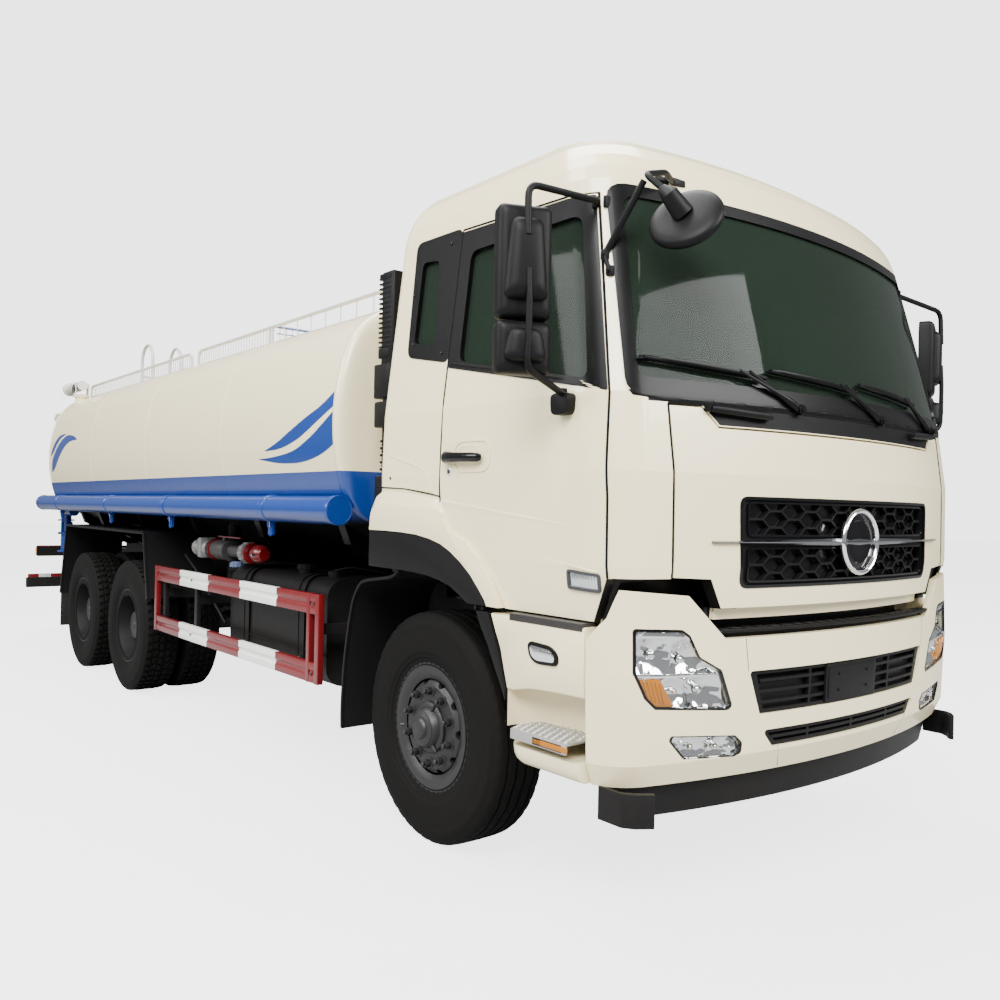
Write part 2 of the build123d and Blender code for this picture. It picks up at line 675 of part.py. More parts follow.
put("hose_tubes", *both(build_hose_tube()))

# ---------------------------------------------------------------- railings, ladder and water cannon
RAILING_X = -800
RAILING_TOP_Z = 2806
RAILING_SPANS = ((1000, 4000), (4130, 7200))


def build_railing():
    pieces = []
    for start, end in RAILING_SPANS:
        corners = [(start, 2650), (start, RAILING_TOP_Z), (end, RAILING_TOP_Z), (end, 2650)]
        top = pipe([(RAILING_X, y, z) for y, z in corners], 12, 60)
        count = round((end - start) / 500)
        for index in range(1, count):
            y = start + (end - start) * index / count
            top += rod((RAILING_X, y, 2650), (RAILING_X, y, RAILING_TOP_Z), 8)
        pieces.append(top)
    return pieces


RAILS = [side - TANK for railing in build_railing() for side in both(railing)]
put("top_railings", *RAILS)

LADDER_Y = 7560
LADDER_TOP_Z = 3360
HOOP_RADIUS = 190


def build_ladder():
    pieces = []
    for x in (-160, 160):
        front_leg_y = LADDER_Y - 2 * HOOP_RADIUS
        rear_leg = [(x, LADDER_Y, RAIL_TOP_Z), (x, LADDER_Y, LADDER_TOP_Z)]
        front_leg = [(x, front_leg_y, LADDER_TOP_Z), (x, front_leg_y, 2690)]
        pieces.append(pipe(rear_leg + front_leg, 17, HOOP_RADIUS - 1))
    ladder = pieces[0] + pieces[1]
    for level in range(8):
        z = 1200 + level * 260
        ladder += rod((-160, LADDER_Y, z), (160, LADDER_Y, z), 13)
    for x in (-160, 160):
        ladder += rod((x, 7180, 2300), (x, LADDER_Y, 2300), 12)
    return ladder - TANK


put("rear_ladder", build_ladder())

TURRET = upright((CANNON_BASE_Z + 1, CANNON_BASE_Z + 15), 80)
for x in (CANNON_X - 72, CANNON_X + 58):
    TURRET += block((x, x + 14), (CANNON_Y - 32, CANNON_Y + 32), (CANNON_BASE_Z + 15, CANNON_PIVOT_Z + 30))
BARREL = along_barrel((-45, 460), 48)
for ends, radius in (((455, 480), 72), ((-60, -44), 52)):
    BARREL += along_barrel(ends, radius)
BARREL += rod((CANNON_X - 57, CANNON_Y, CANNON_PIVOT_Z), (CANNON_X + 57, CANNON_Y, CANNON_PIVOT_Z), 20)
put("cannon_turret", TURRET)
put("cannon_barrel", BARREL)

# ---------------------------------------------------------------- chassis frame and tank bearers
TOW_PIN_Y = 8100
TOW_JAW_Z = (790, 900)
TOW_BORE_RADIUS = 20
CROSS_MEMBER_YS = (-1080, 700, 1950, 3200, 4300, 5025, 5750, 6700, 7860)


def build_rail():
    outer, inner = -RAIL_OUTER_X, -RAIL_OUTER_X + RAIL_FLANGE
    profile = [
        (outer, RAIL_BOTTOM_Z), (inner, RAIL_BOTTOM_Z), (inner, RAIL_BOTTOM_Z + RAIL_THICK),
        (outer + RAIL_THICK, RAIL_BOTTOM_Z + RAIL_THICK), (outer + RAIL_THICK, RAIL_TOP_Z - RAIL_THICK),
        (inner, RAIL_TOP_Z - RAIL_THICK), (inner, RAIL_TOP_Z), (outer, RAIL_TOP_Z),
    ]
    return front_prism(profile, (RAIL_FRONT_Y, RAIL_REAR_Y))


def build_tow_jaw():
    """Towing jaw on the last cross-member: two ears with an upright bore for a pin."""
    neck = block((-60, 60), (7900, 8030), (TOW_JAW_Z[0], TOW_JAW_Z[1]))
    ears = rod((0, TOW_PIN_Y, TOW_JAW_Z[0]), (0, TOW_PIN_Y, TOW_JAW_Z[1]), 60)
    ears += block((-60, 60), (7990, TOW_PIN_Y), (TOW_JAW_Z[0], TOW_JAW_Z[1]))
    jaw = neck + ears
    jaw -= block((-80, 80), (8000, 8200), (TOW_JAW_Z[0] + 28, TOW_JAW_Z[1] - 28))
    return jaw - rod((0, TOW_PIN_Y, 700), (0, TOW_PIN_Y, 1100), TOW_BORE_RADIUS)


def build_chassis_frame():
    frame = build_rail() + left(build_rail())
    web = RAIL_OUTER_X - RAIL_THICK
    for y in CROSS_MEMBER_YS:
        frame += block((-web, web), (y - 50, y + 50), (RAIL_BOTTOM_Z + 70, RAIL_TOP_Z - 60))
    beam = block((-630, 630), (-1450, -1240), (RAIL_BOTTOM_Z + 20, RAIL_BOTTOM_Z + 150))
    beam = beam & BUMPER_INNER_FRONT
    height = (RAIL_BOTTOM_Z + 20, RAIL_BOTTOM_Z + 150)
    horns = block((-RAIL_OUTER_X, -RAIL_OUTER_X + 60), (-1260, RAIL_FRONT_Y), height)
    return frame + beam + horns + left(horns) + build_tow_jaw()


FRAME = build_chassis_frame()


def build_tank_bearers():
    """Long bearers on the rails and the curved saddles that hold the tank."""
    bearer = block((-RAIL_OUTER_X, -RAIL_OUTER_X + 70), (900, 7100), (RAIL_TOP_Z, BEARER_TOP_Z))
    bearers = bearer + left(bearer)
    for y in (1250, 2450, 3700, 5025, 6300, 6950):
        saddle = front_prism(mirrored_outline([(0, BEARER_TOP_Z - 10), (RAIL_OUTER_X + 30, BEARER_TOP_Z - 10),
                                               (900, 1330), (960, 1480), (0, 1480)]), (y - 40, y + 40))
        bearers += saddle
    return bearers - TANK


FRAME += build_tank_bearers()
put("chassis_frame", FRAME)

# ---------------------------------------------------------------- axles, springs, driveline, engine
AXLE_Z = TYRE_RADIUS
KINGPIN_X = 850
HUB_X = 960


def build_front_axle():
    half = [(0, 355), (560, 355), (700, 420), (KINGPIN_X - 46, AXLE_Z - 50), (KINGPIN_X - 46, AXLE_Z + 45),
            (690, 520), (540, 455), (0, 455)]
    beam = front_prism(mirrored_outline(half), (-55, 55))
    for side in (-1, 1):
        beam += rod((side * KINGPIN_X, 0, AXLE_Z - 55), (side * KINGPIN_X, 0, AXLE_Z + 55), 52)
    return beam


def build_knuckle():
    """Right steering knuckle: two kingpin ears, a back plate and the wheel spindle."""
    x = -KINGPIN_X
    knuckle = block((-HUB_X + 22, x - 58), (-60, 60), (AXLE_Z - 105, AXLE_Z + 105))
    for low, high in ((AXLE_Z + 61, AXLE_Z + 105), (AXLE_Z - 105, AXLE_Z - 61)):
        knuckle += rod((x, 0, low), (x, 0, high), 50)
        knuckle += block((x - 60, x), (-50, 50), (low, high))
    return knuckle + rod((x - 60, 0, AXLE_Z), (-1150, 0, AXLE_Z), 40)


def build_rear_axles():
    axles = []
    for y in REAR_AXLE_YS:
        tube = rod((-560, y, AXLE_Z), (560, y, AXLE_Z), 75)
        tube += Pos(0, y, AXLE_Z) * Sphere(205)
        tube += rod((-1130, y, AXLE_Z), (1130, y, AXLE_Z), 45)
        axles.append(tube)
    carriers = axles[0] + axles[1]
    shafts = rod((0, 700, 760), (0, WHEELBASE - 150, 610), 48)
    shafts += rod((0, WHEELBASE + 150, 560), (0, WHEELBASE + TANDEM - 150, 540), 48)
    return carriers + shafts


def build_springs():
    """Front leaf packs under the rails and the rear packs that rest on both axle tubes."""
    bow = [
        (-800, 655), (-300, 530), (0, 455), (300, 530), (800, 655),
        (800, 740), (300, 615), (0, 555), (-300, 615), (-800, 740),
    ]
    front = side_prism(bow, (-425, -345))
    for y in ((-820, -760), (760, 820)):
        front += block((-425, -345), y, (680, RAIL_BOTTOM_Z))
    first, last = REAR_AXLE_YS
    beam = [
        (first - 90, 612), (first + 90, 612), (TANDEM_MIDDLE_Y, 640), (last - 90, 612),
        (last + 90, 612), (last + 90, 650), (TANDEM_MIDDLE_Y, RAIL_BOTTOM_Z), (first - 90, 650),
    ]
    rear = side_prism(beam, (-520, -430))
    rear += block((-520, -430), (TANDEM_MIDDLE_Y - 150, TANDEM_MIDDLE_Y + 150), (660, 900))
    return front, rear


FRONT_AXLE = build_front_axle()
REAR_AXLES = build_rear_axles()
FRONT_SPRING, REAR_SPRING = build_springs()
put("front_axle", FRONT_AXLE)
put("rear_axles", REAR_AXLES)
put("leaf_springs", *both(FRONT_SPRING - FRONT_AXLE - FRAME), *both(REAR_SPRING - REAR_AXLES - FRAME))
ENGINE = block((-330, 330), (-600, 560), (640, 1440)) + block((-200, 200), (560, 700), (660, 900))
put("engine", (ENGINE - FRAME - block((-500, 500), (640, 760), (0, 2000))) - FRONT_AXLE)

# ---------------------------------------------------------------- wheels
TYRE_PROFILE = [  # x from the tyre's middle, radius: bead, sidewall, shoulder, tread and back
    (-98, 262), (-142, 380), (-145, 450), (-120, 535), (120, 535), (145, 450), (142, 380), (98, 262),
]


def build_tyre(x, y):
    """A tyre of TYRE_FLATS flats: one flat face for each flat and each stretch of the profile."""
    step = 2 * pi / TYRE_FLATS
    corner = 1 / cos(step / 2)

    def at(point, index):
        angle = (index + 0.5) * step - pi / 2
        radius = point[1] * corner
        return (x + point[0], y + radius * cos(angle), AXLE_Z + radius * sin(angle))

    faces = []
    for here, there in zip(TYRE_PROFILE, TYRE_PROFILE[1:] + TYRE_PROFILE[:1]):
        for index in range(TYRE_FLATS):
            corners = [at(here, index), at(there, index), at(there, index + 1), at(here, index + 1)]
            faces.append(Face(Wire.make_polygon(corners)))
    return Part() + Solid(Shell(faces))


def rim_ring(x):
    """Profile of a rim barrel with its two flanges, on the wheel's middle plane at x."""
    return [
        (x - 122, 300), (x - 114, 300), (x - 102, RIM_SEAT_RADIUS), (x + 102, RIM_SEAT_RADIUS),
        (x + 114, 300), (x + 122, 300), (x + 118, 246), (x - 118, 246),
    ]


HAND_HOLES = 10


def build_front_wheel():
    """Right front wheel: barrel, convex disc with hand holes, hub, cap and brake drum."""
    centre = (-FRONT_WHEEL_X, 0, AXLE_Z)
    wheel = turned(rim_ring(0), centre)
    disc = [(-20, 247), (-50, 236), (-104, 212), (-118, 190), (-118, 60), (-106, 60), (-106, 184), (-92, 200),
            (-40, 224), (-8, 247)]
    wheel += turned(disc, centre)
    for index in range(HAND_HOLES):
        angle = radians(36 * index + 18)
        hole = rod((-FRONT_WHEEL_X - 160, 217 * sin(angle), AXLE_Z + 217 * cos(angle)),
                   (-FRONT_WHEEL_X, 217 * sin(angle), AXLE_Z + 217 * cos(angle)), 22)
        wheel -= hole
    hub = [
        (75, 41), (75, 90), (30, 90), (30, 130), (10, 130), (10, 92), (-118, 92),
        (-168, 80), (-176, 60), (-176, 0), (-150, 0), (-150, 41),
    ]
    wheel += turned(hub, centre)
    drum = [(-10, 125), (10, 125), (10, 196), (80, 196), (80, 208), (-10, 208)]
    wheel += turned(drum, centre)
    wheel += turned([(-106, 92), (-106, 128), (30, 128), (30, 92)], centre)
    return wheel


def build_rear_wheels(y):
    """Right twin wheels: two barrels, dished discs back to back, one hub and drum."""
    outer = (-OUTER_TWIN_X, y, AXLE_Z)
    inner = (-OUTER_TWIN_X + TWIN_SPACING, y, AXLE_Z)
    wheels = turned(rim_ring(0), outer) + turned(rim_ring(0), inner)
    mating = TWIN_SPACING / 2
    disc = [
        (40, 247), (90, 225), (mating - 10, 205), (mating - 10, 90),
        (mating, 90), (mating, 212), (100, 235), (60, 247),
    ]
    wheels += turned(disc, outer)
    wheels += turned([(-x, radius) for x, radius in disc], inner)
    for index in range(HAND_HOLES):
        angle = radians(36 * index + 18)
        wheels -= rod((-OUTER_TWIN_X, y + 214 * sin(angle), AXLE_Z + 214 * cos(angle)),
                      (-OUTER_TWIN_X + TWIN_SPACING, y + 214 * sin(angle), AXLE_Z + 214 * cos(angle)), 20)
    back = mating + 160
    hub = [(-60, 0), (-60, 110), (20, 150), (back, 150), (back, 46), (-36, 46), (-36, 0)]
    return wheels + turned(hub, outer)


FRONT_TYRE = build_tyre(-FRONT_WHEEL_X, 0)
FRONT_WHEEL = build_front_wheel()
KNUCKLE = build_knuckle()
put("tyre_front_right", FRONT_TYRE)
put("tyre_front_left", left(FRONT_TYRE))
put("wheel_front_right", FRONT_WHEEL)
put("wheel_front_left", left(FRONT_WHEEL))
put("knuckle_right", KNUCKLE)
put("knuckle_left", left(KNUCKLE))
for place, axle_y in zip(("middle", "rear"), REAR_AXLE_YS):
    twin_tyres = [build_tyre(-OUTER_TWIN_X, axle_y), build_tyre(-OUTER_TWIN_X + TWIN_SPACING, axle_y)]
    twin_wheels = build_rear_wheels(axle_y)
    put(f"tyres_{place}_right", *twin_tyres)
    put(f"tyres_{place}_left", *[left(tyre) for tyre in twin_tyres])
    put(f"wheels_{place}_right", twin_wheels)
    put(f"wheels_{place}_left", left(twin_wheels))

# ---------------------------------------------------------------- mudguards and fenders
def build_front_mudguard():
    outer_x, inner_x = -1235, -760
    line = [
        (-140, 1180), (440, 1180), (545, 1120), (735, 400),
        (747, 404), (558, 1132), (446, 1194), (-140, 1194),
    ]
    guard = side_prism(line, (outer_x, inner_x))
    guard += block((inner_x, -RAIL_OUTER_X), (640, 680), (880, 920))
    guard += block((inner_x - 40, inner_x), (600, 680), (880, 920)) - side_prism(line, (outer_x, inner_x))
    return guard


def build_rear_fender():
    line = [
        (3800, 800), (3930, 1316), (6300, 1316), (6500, 630),
        (6488, 626), (6290, 1304), (3940, 1304), (3812, 798),
    ]
    fender = side_prism(line, (-1238, -690))
    for y in (4120, 4880, 6150):
        fender += block((-760, -RAIL_OUTER_X), (y - 20, y + 20), (1150, 1190))
        fender += block((-760, -720), (y - 20, y + 20), (1150, 1304))
        fender += block((-RAIL_OUTER_X - 40, -RAIL_OUTER_X), (y - 20, y + 20), (980, 1190))
    return fender


put("front_mudguards", *[piece - FRAME for piece in both(build_front_mudguard())])
put("rear_fenders", *[piece - FRAME for piece in both(build_rear_fender())])

# ---------------------------------------------------------------- side equipment
GUARD_X = (-1215, -1185)
GUARD_YS = (980, 3680)
GUARD_RAILS = ((580, 692), (955, 1067))


def build_side_guard():
    guard = Part()
    for low, high in GUARD_RAILS:
        guard += block(GUARD_X, GUARD_YS, (low, high))
    for y in (980, 3640):
        guard += block(GUARD_X, (y, y + 40), (580, 1067))
    for y in (1060, 2900, 3560):
        guard += block((-1185, -1155), (y - 25, y + 25), (580, 1067))
        guard += block((-1185, -RAIL_OUTER_X), (y - 25, y + 25), (840, 900))
    return guard


put("side_guards", *both(build_side_guard() - FRAME))


def build_fuel_tank():
    tank = extrude(fillet((Plane.XZ * Rectangle(560, 620)).vertices(), 110), amount=1400, dir=(0, 1, 0))
    tank = Pos(-770, 1200, 820) * tank
    tank += rod((-880, 1420, 1100), (-880, 1420, 1160), 48)
    for y in (1480, 2280):
        strap = extrude(fillet((Plane.XZ * Rectangle(576, 636)).vertices(), 118), amount=60, dir=(0, 1, 0))
        tank += Pos(-770, y, 820) * strap
        tank += block((-560, -RAIL_OUTER_X), (y, y + 60), (800, 1000))
    return tank


def build_left_gear():
    battery = fillet(block((560, 1040), (1150, 1800), (620, 1060)).edges(), 20)
    battery += block((RAIL_OUTER_X, 600), (1250, 1700), (800, 900))
    pieces = [battery]
    for z, bracket in ((700, (760, 800)), (960, (900, 940))):
        air = rod((780, 1950, z), (780, 2780, z), 120)
        pieces.append(air + block((RAIL_OUTER_X, 700), (2300, 2400), bracket))
    return pieces


put("fuel_tank", build_fuel_tank() - FRAME)
put("battery_and_air_tanks", *[piece - FRAME for piece in build_left_gear()])


def build_pump():
    """Water pump beside the rail, with its pipe up to the tank and along to the rear valves."""
    pump = rod((-560, 3150, 900), (-700, 3150, 900), 170) + rod((-700, 3150, 900), (-860, 3150, 900), 90)
    pump += block((-600, -RAIL_OUTER_X), (3080, 3220), (780, 1000))
    riser = rod((-800, 3150, 900), (-800, 3150, 1430), 55)
    return (pump + riser) - TANK


def build_rear_pipework():
    drop = rod((-960, 7480, 985), (-960, 7480, 1400), 52)
    elbow = rod((-960, 7140, 1400 + 40), (-960, 7500, 1400 + 40), 52)
    flanges = rod((-960, 7480, 985), (-960, 7480, 1005), 85) + rod((-960, 7480, 1180), (-960, 7480, 1200), 85)
    return (drop + elbow + flanges) - TANK


put("water_pipework", build_pump() - FRAME, *both(build_rear_pipework()))

# ---------------------------------------------------------------- intake stack
def build_intake_stack():
    stack = block((-1225, -1085), (440, 600), (1660, 2760))
    for index in range(22):
        z = 1700 + index * 48
        stack += block((-1232, -1078), (436, 606), (z, z + 16))
    stack += block((-1200, -900), (430, 640), (1240, 1660))
    stack += block((-960, -RAIL_OUTER_X), (470, 600), (1206, 1300))
    stack += block((-RAIL_OUTER_X - 30, -RAIL_OUTER_X), (470, 600), (960, 1300))
    return stack


put("intake_stack", build_intake_stack() - FRAME)

# ---------------------------------------------------------------- rear end
LIGHT_BAR = block((-1150, 1150), (RAIL_REAR_Y, RAIL_REAR_Y + 60), (925, 1030))
UNDERRUN = block((-1200, 1200), (8160, REAR_END_Y), (550, 660))
for x in (-400, 360):
    hanger = [(7700, RAIL_BOTTOM_Z), (7900, RAIL_BOTTOM_Z), (8160, 660), (8160, 560), (7860, 620)]
    UNDERRUN += side_prism(hanger, (x, x + 40))
put("light_bar", LIGHT_BAR - FRAME)
put("underrun_bar", UNDERRUN)
TAIL_LAMP = block((-1130, -760), (RAIL_REAR_Y + 60, RAIL_REAR_Y + 110), (915, 1035))
put("tail_lamps", *both(TAIL_LAMP))
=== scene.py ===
# %% [markdown]
# A six-wheel water tanker: a tilting cab with real doors, a long oval tank, a chassis that shows all its
# ironwork below, and ten tyres. The CAD frame gives every main part in metres, with the front of the truck
# towards -Y and its left side towards +X. This lesson dresses that frame: it gives each part a finish and
# builds the small things CAD leaves out, such as tyre tread, wheel nuts, lamps, honeycomb and rails.

# %% Load the frame
import json
import math

import bmesh
import bpy
from mathutils import Matrix, Vector


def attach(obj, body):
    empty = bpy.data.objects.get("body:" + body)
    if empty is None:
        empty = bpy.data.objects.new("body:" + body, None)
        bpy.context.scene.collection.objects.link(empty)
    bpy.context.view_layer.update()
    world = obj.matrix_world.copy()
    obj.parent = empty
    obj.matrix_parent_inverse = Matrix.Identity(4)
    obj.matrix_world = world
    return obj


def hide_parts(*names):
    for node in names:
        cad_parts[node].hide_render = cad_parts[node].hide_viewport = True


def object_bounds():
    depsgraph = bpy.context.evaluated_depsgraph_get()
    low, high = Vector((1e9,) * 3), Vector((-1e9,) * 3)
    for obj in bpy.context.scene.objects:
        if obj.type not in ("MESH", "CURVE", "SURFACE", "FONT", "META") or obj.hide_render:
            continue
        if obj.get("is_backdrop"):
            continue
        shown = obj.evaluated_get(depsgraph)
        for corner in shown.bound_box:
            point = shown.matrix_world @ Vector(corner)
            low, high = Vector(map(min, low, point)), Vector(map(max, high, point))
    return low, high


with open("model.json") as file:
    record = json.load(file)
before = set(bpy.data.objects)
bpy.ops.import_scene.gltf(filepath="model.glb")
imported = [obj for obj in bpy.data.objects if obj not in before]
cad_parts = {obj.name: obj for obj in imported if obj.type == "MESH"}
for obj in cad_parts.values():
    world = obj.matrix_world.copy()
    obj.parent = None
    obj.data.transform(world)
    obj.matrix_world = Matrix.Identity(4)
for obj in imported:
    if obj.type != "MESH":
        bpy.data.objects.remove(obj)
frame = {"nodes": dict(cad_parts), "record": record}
cad_box = [list(corner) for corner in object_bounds()]

# %% [markdown]
# Truck drawings measure lengths from the front axle and heights from the ground, in millimetres. One small
# helper turns such a point into the frame's metres, so that every number below can be read off a drawing.

# %% Drawing coordinates
AXLE_ROW_Y = -3.370
WHEEL_CENTRE_Z = 535


def at(x, y, z):
    """A point of the drawing, in millimetres from the front axle and the ground, as a vector in metres."""
    return Vector((x / 1000, y / 1000 + AXLE_ROW_Y, z / 1000))


print("middle of the front axle, in metres:", [round(value, 3) for value in at(0, 0, WHEEL_CENTRE_Z)])

# %% [markdown]
# The camera stands close to the right front corner, at the height of a standing person's eyes. A wide lens
# from there stretches the cab and shrinks the tank, which makes the truck look as large as it is. The camera
# is rolled by one degree, and the lens is shifted a little, so the truck sits in the middle of the picture.

# %% Camera
EYE = Vector((-3.5622, -6.9331, 1.5518))
YAW = math.radians(39.2145)
PITCH = math.radians(0.312)
ROLL = math.radians(1.1435)
SENSOR_WIDTH = 36
FOCAL_LENGTH = 33.18
LENS_SHIFT = (-0.0155, 0.0047)
FAR_LIMIT = 200
forward = Vector((math.sin(YAW) * math.cos(PITCH), math.cos(YAW) * math.cos(PITCH), math.sin(PITCH)))
level_right = Vector((math.cos(YAW), -math.sin(YAW), 0))
level_up = level_right.cross(forward)
right = level_right * math.cos(ROLL) + level_up * math.sin(ROLL)
up = level_up * math.cos(ROLL) - level_right * math.sin(ROLL)
camera = bpy.data.objects.new("camera", bpy.data.cameras.new("camera"))
bpy.context.scene.collection.objects.link(camera)
camera.matrix_world = Matrix.Translation(EYE) @ Matrix((right, up, -forward)).transposed().to_4x4()
camera.data.sensor_width = SENSOR_WIDTH
camera.data.lens = FOCAL_LENGTH
camera.data.shift_x, camera.data.shift_y = LENS_SHIFT
camera.data.clip_end = FAR_LIMIT
bpy.context.scene.camera = camera
print("camera at", [round(v, 2) for v in EYE])

# %% [markdown]
# A product picture of something this large is lit like a car studio: a pale floor, a bright even sky and
# four broad soft boxes, so that white paint still shows its curves and chrome has something to reflect. The
# sky and the floor are brighter to the camera than to the truck, so the ground stays white without glare.

# %% Stage and light
FLOOR_HALF = 60
FLOOR_GLOW = (2.9, 2.95, 3.0, 1)
SKY_SEEN = 3.4
SKY_LIGHT = 0.36


def stage_floor():
    """A sheet of pale paper with a faint cloud in its tone."""
    mesh = bpy.data.meshes.new("floor")
    corners = [(x * FLOOR_HALF, y * FLOOR_HALF, 0) for x, y in ((-1, -1), (1, -1), (1, 1), (-1, 1))]
    mesh.from_pydata(corners, [], [(0, 1, 2, 3)])
    paper = bpy.data.materials.new("paper")
    paper.use_nodes = True
    tree = paper.node_tree
    shader = tree.nodes["Principled BSDF"]
    fibres = tree.nodes.new("ShaderNodeTexNoise")
    fibres.inputs["Scale"].default_value = 3.0
    tree.links.new(tree.nodes.new("ShaderNodeTexCoord").outputs["Object"], fibres.inputs["Vector"])
    shade = tree.nodes.new("ShaderNodeMapRange")
    shade.inputs["To Min"].default_value = 0.30
    shade.inputs["To Max"].default_value = 0.34
    tree.links.new(fibres.outputs[0], shade.inputs["Value"])
    tree.links.new(shade.outputs[0], shader.inputs["Base Color"])
    shader.inputs["Roughness"].default_value = 0.9
    seen = tree.nodes.new("ShaderNodeLightPath").outputs["Is Camera Ray"]
    tree.links.new(seen, shader.inputs["Emission Strength"])
    shader.inputs["Emission Color"].default_value = FLOOR_GLOW
    mesh.materials.append(paper)
    floor = bpy.data.objects.new("floor", mesh)
    bpy.context.scene.collection.objects.link(floor)
    floor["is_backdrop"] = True
    return floor


def soft_box(name, place, target, size, power):
    """A rectangular lamp at a place, turned towards its target."""
    light = bpy.data.lights.new(name, "AREA")
    light.shape = "RECTANGLE"
    light.size, light.size_y = size
    light.energy = power
    lamp = bpy.data.objects.new(name, light)
    lamp.location = place
    lamp.rotation_euler = (Vector(target) - Vector(place)).to_track_quat("-Z", "Y").to_euler()
    bpy.context.scene.collection.objects.link(lamp)


floor = stage_floor()
world = bpy.data.worlds.new("studio")
world.use_nodes = True
sky = world.node_tree.nodes["Background"]
sky.inputs["Color"].default_value = (0.97, 0.98, 1.0, 1)
seen = world.node_tree.nodes.new("ShaderNodeLightPath").outputs["Is Camera Ray"]
level = world.node_tree.nodes.new("ShaderNodeMapRange")
level.inputs["To Min"].default_value = SKY_LIGHT
level.inputs["To Max"].default_value = SKY_SEEN
world.node_tree.links.new(seen, level.inputs["Value"])
world.node_tree.links.new(level.outputs[0], sky.inputs["Strength"])
bpy.context.scene.world = world
soft_box("key", (-9, -10, 10), (0, -2, 1), (8, 6), 4200)
soft_box("fill", (-13, 3, 8), (-1, 1, 1.5), (12, 4), 1900)
soft_box("front", (3, -13, 7), (0, -4, 1.5), (8, 4), 1900)
soft_box("over", (-1, 0, 12), (0, 0, 0), (6, 14), 3400)

# %% [markdown]
# Three effects come back in many finishes, so each is a shader group built once. Road dust lies more thickly
# low down and breaks up in soft clouds. Moulded plastic and cast iron have a fine grain that only shows in
# the highlights. Sprayed paint has orange peel: a very slight wave that makes reflections wobble.

# %% Shader groups


def shader_group(name, inputs, outputs):
    """An empty node group with named sockets; inputs and outputs are (name, socket type, default)."""
    group = bpy.data.node_groups.new(name, "ShaderNodeTree")
    for label, kind, value in inputs:
        socket = group.interface.new_socket(label, in_out="INPUT", socket_type=kind)
        if value is not None:
            socket.default_value = value
    for label, kind in outputs:
        group.interface.new_socket(label, in_out="OUTPUT", socket_type=kind)
    return group, group.nodes.new("NodeGroupInput"), group.nodes.new("NodeGroupOutput")


def node(tree, kind, settings=None, **values):
    """A node with its settings and input values; a value that is a socket is linked instead."""
    made = tree.nodes.new(kind)
    for key, value in (settings or {}).items():
        setattr(made, key, value)
    for key, value in values.items():
        numbered = key[0] == "i" and key[1:].isdigit()
        socket = made.inputs[int(key[1:]) if numbered else key.replace("_", " ")]
        if isinstance(value, bpy.types.NodeSocket):
            tree.links.new(value, socket)
        else:
            socket.default_value = value
    return made


def math_node(tree, operation, first, second=0.0, clamp=False):
    settings = {"operation": operation, "use_clamp": clamp}
    return node(tree, "ShaderNodeMath", settings, i0=first, i1=second).outputs[0]


def mix_colour(tree, factor, low, high):
    """The colour sockets of a Mix node are its seventh and eighth inputs."""
    return node(tree, "ShaderNodeMix", {"data_type": "RGBA"}, i0=factor, i6=low, i7=high).outputs[2]


def make_dust_group():
    group, entry, leave = shader_group(
        "road dust",
        [("Clean", "NodeSocketColor", (0.8, 0.8, 0.8, 1)), ("Dust", "NodeSocketColor", (0.35, 0.31, 0.26, 1)),
         ("Amount", "NodeSocketFloat", 0.3), ("Height", "NodeSocketFloat", 1.0),
         ("Gloss", "NodeSocketFloat", 0.3)],
        [("Color", "NodeSocketColor"), ("Roughness", "NodeSocketFloat")])
    place = node(group, "ShaderNodeTexCoord").outputs["Object"]
    height = node(group, "ShaderNodeSeparateXYZ", i0=place).outputs[2]
    clouds = node(group, "ShaderNodeTexNoise", Vector=place, Scale=2.3, Detail=5.0, Roughness=0.62).outputs[0]
    fine = node(group, "ShaderNodeTexNoise", Vector=place, Scale=41.0, Detail=3.0).outputs[0]
    low = math_node(group, "SUBTRACT", 1.0, math_node(group, "DIVIDE", height, entry.outputs["Height"]),
                    clamp=True)
    mottled = math_node(group, "ADD", clouds, math_node(group, "MULTIPLY", fine, 0.4))
    broken = math_node(group, "MULTIPLY", mottled, 0.8)
    thick = math_node(group, "MULTIPLY", low, broken)
    mask = math_node(group, "MULTIPLY", thick, entry.outputs["Amount"], clamp=True)
    group.links.new(mix_colour(group, mask, entry.outputs["Clean"], entry.outputs["Dust"]),
                    leave.inputs["Color"])
    rough = math_node(group, "ADD", entry.outputs["Gloss"], math_node(group, "MULTIPLY", mask, 0.5),
                      clamp=True)
    wave = math_node(group, "MULTIPLY", math_node(group, "SUBTRACT", clouds, 0.5), 0.12)
    group.links.new(math_node(group, "ADD", rough, wave, clamp=True), leave.inputs["Roughness"])
    return group


def make_relief_group(name, kind, default_scale):
    """A group that puts out a height from a fine pattern, for the Height of a Bump node."""
    group, entry, leave = shader_group(name, [("Scale", "NodeSocketFloat", default_scale)],
                                       [("Height", "NodeSocketFloat")])
    place = node(group, "ShaderNodeTexCoord").outputs["Object"]
    if kind == "grain":
        cells = node(group, "ShaderNodeTexVoronoi", Vector=place,
                     Scale=entry.outputs["Scale"]).outputs["Distance"]
        fine = node(group, "ShaderNodeTexNoise", Vector=place, Scale=entry.outputs["Scale"],
                    Detail=4.0).outputs[0]
        height = math_node(group, "ADD", math_node(group, "MULTIPLY", cells, 0.6), fine)
    else:
        height = node(group, "ShaderNodeTexNoise", Vector=place, Scale=entry.outputs["Scale"],
                      Detail=2.0).outputs[0]
    group.links.new(height, leave.inputs["Height"])
    return group


DUST = make_dust_group()
GRAIN = make_relief_group("moulded grain", "grain", 900.0)
ORANGE_PEEL = make_relief_group("orange peel", "peel", 60.0)
print("shader groups:", [group.name for group in (DUST, GRAIN, ORANGE_PEEL)])

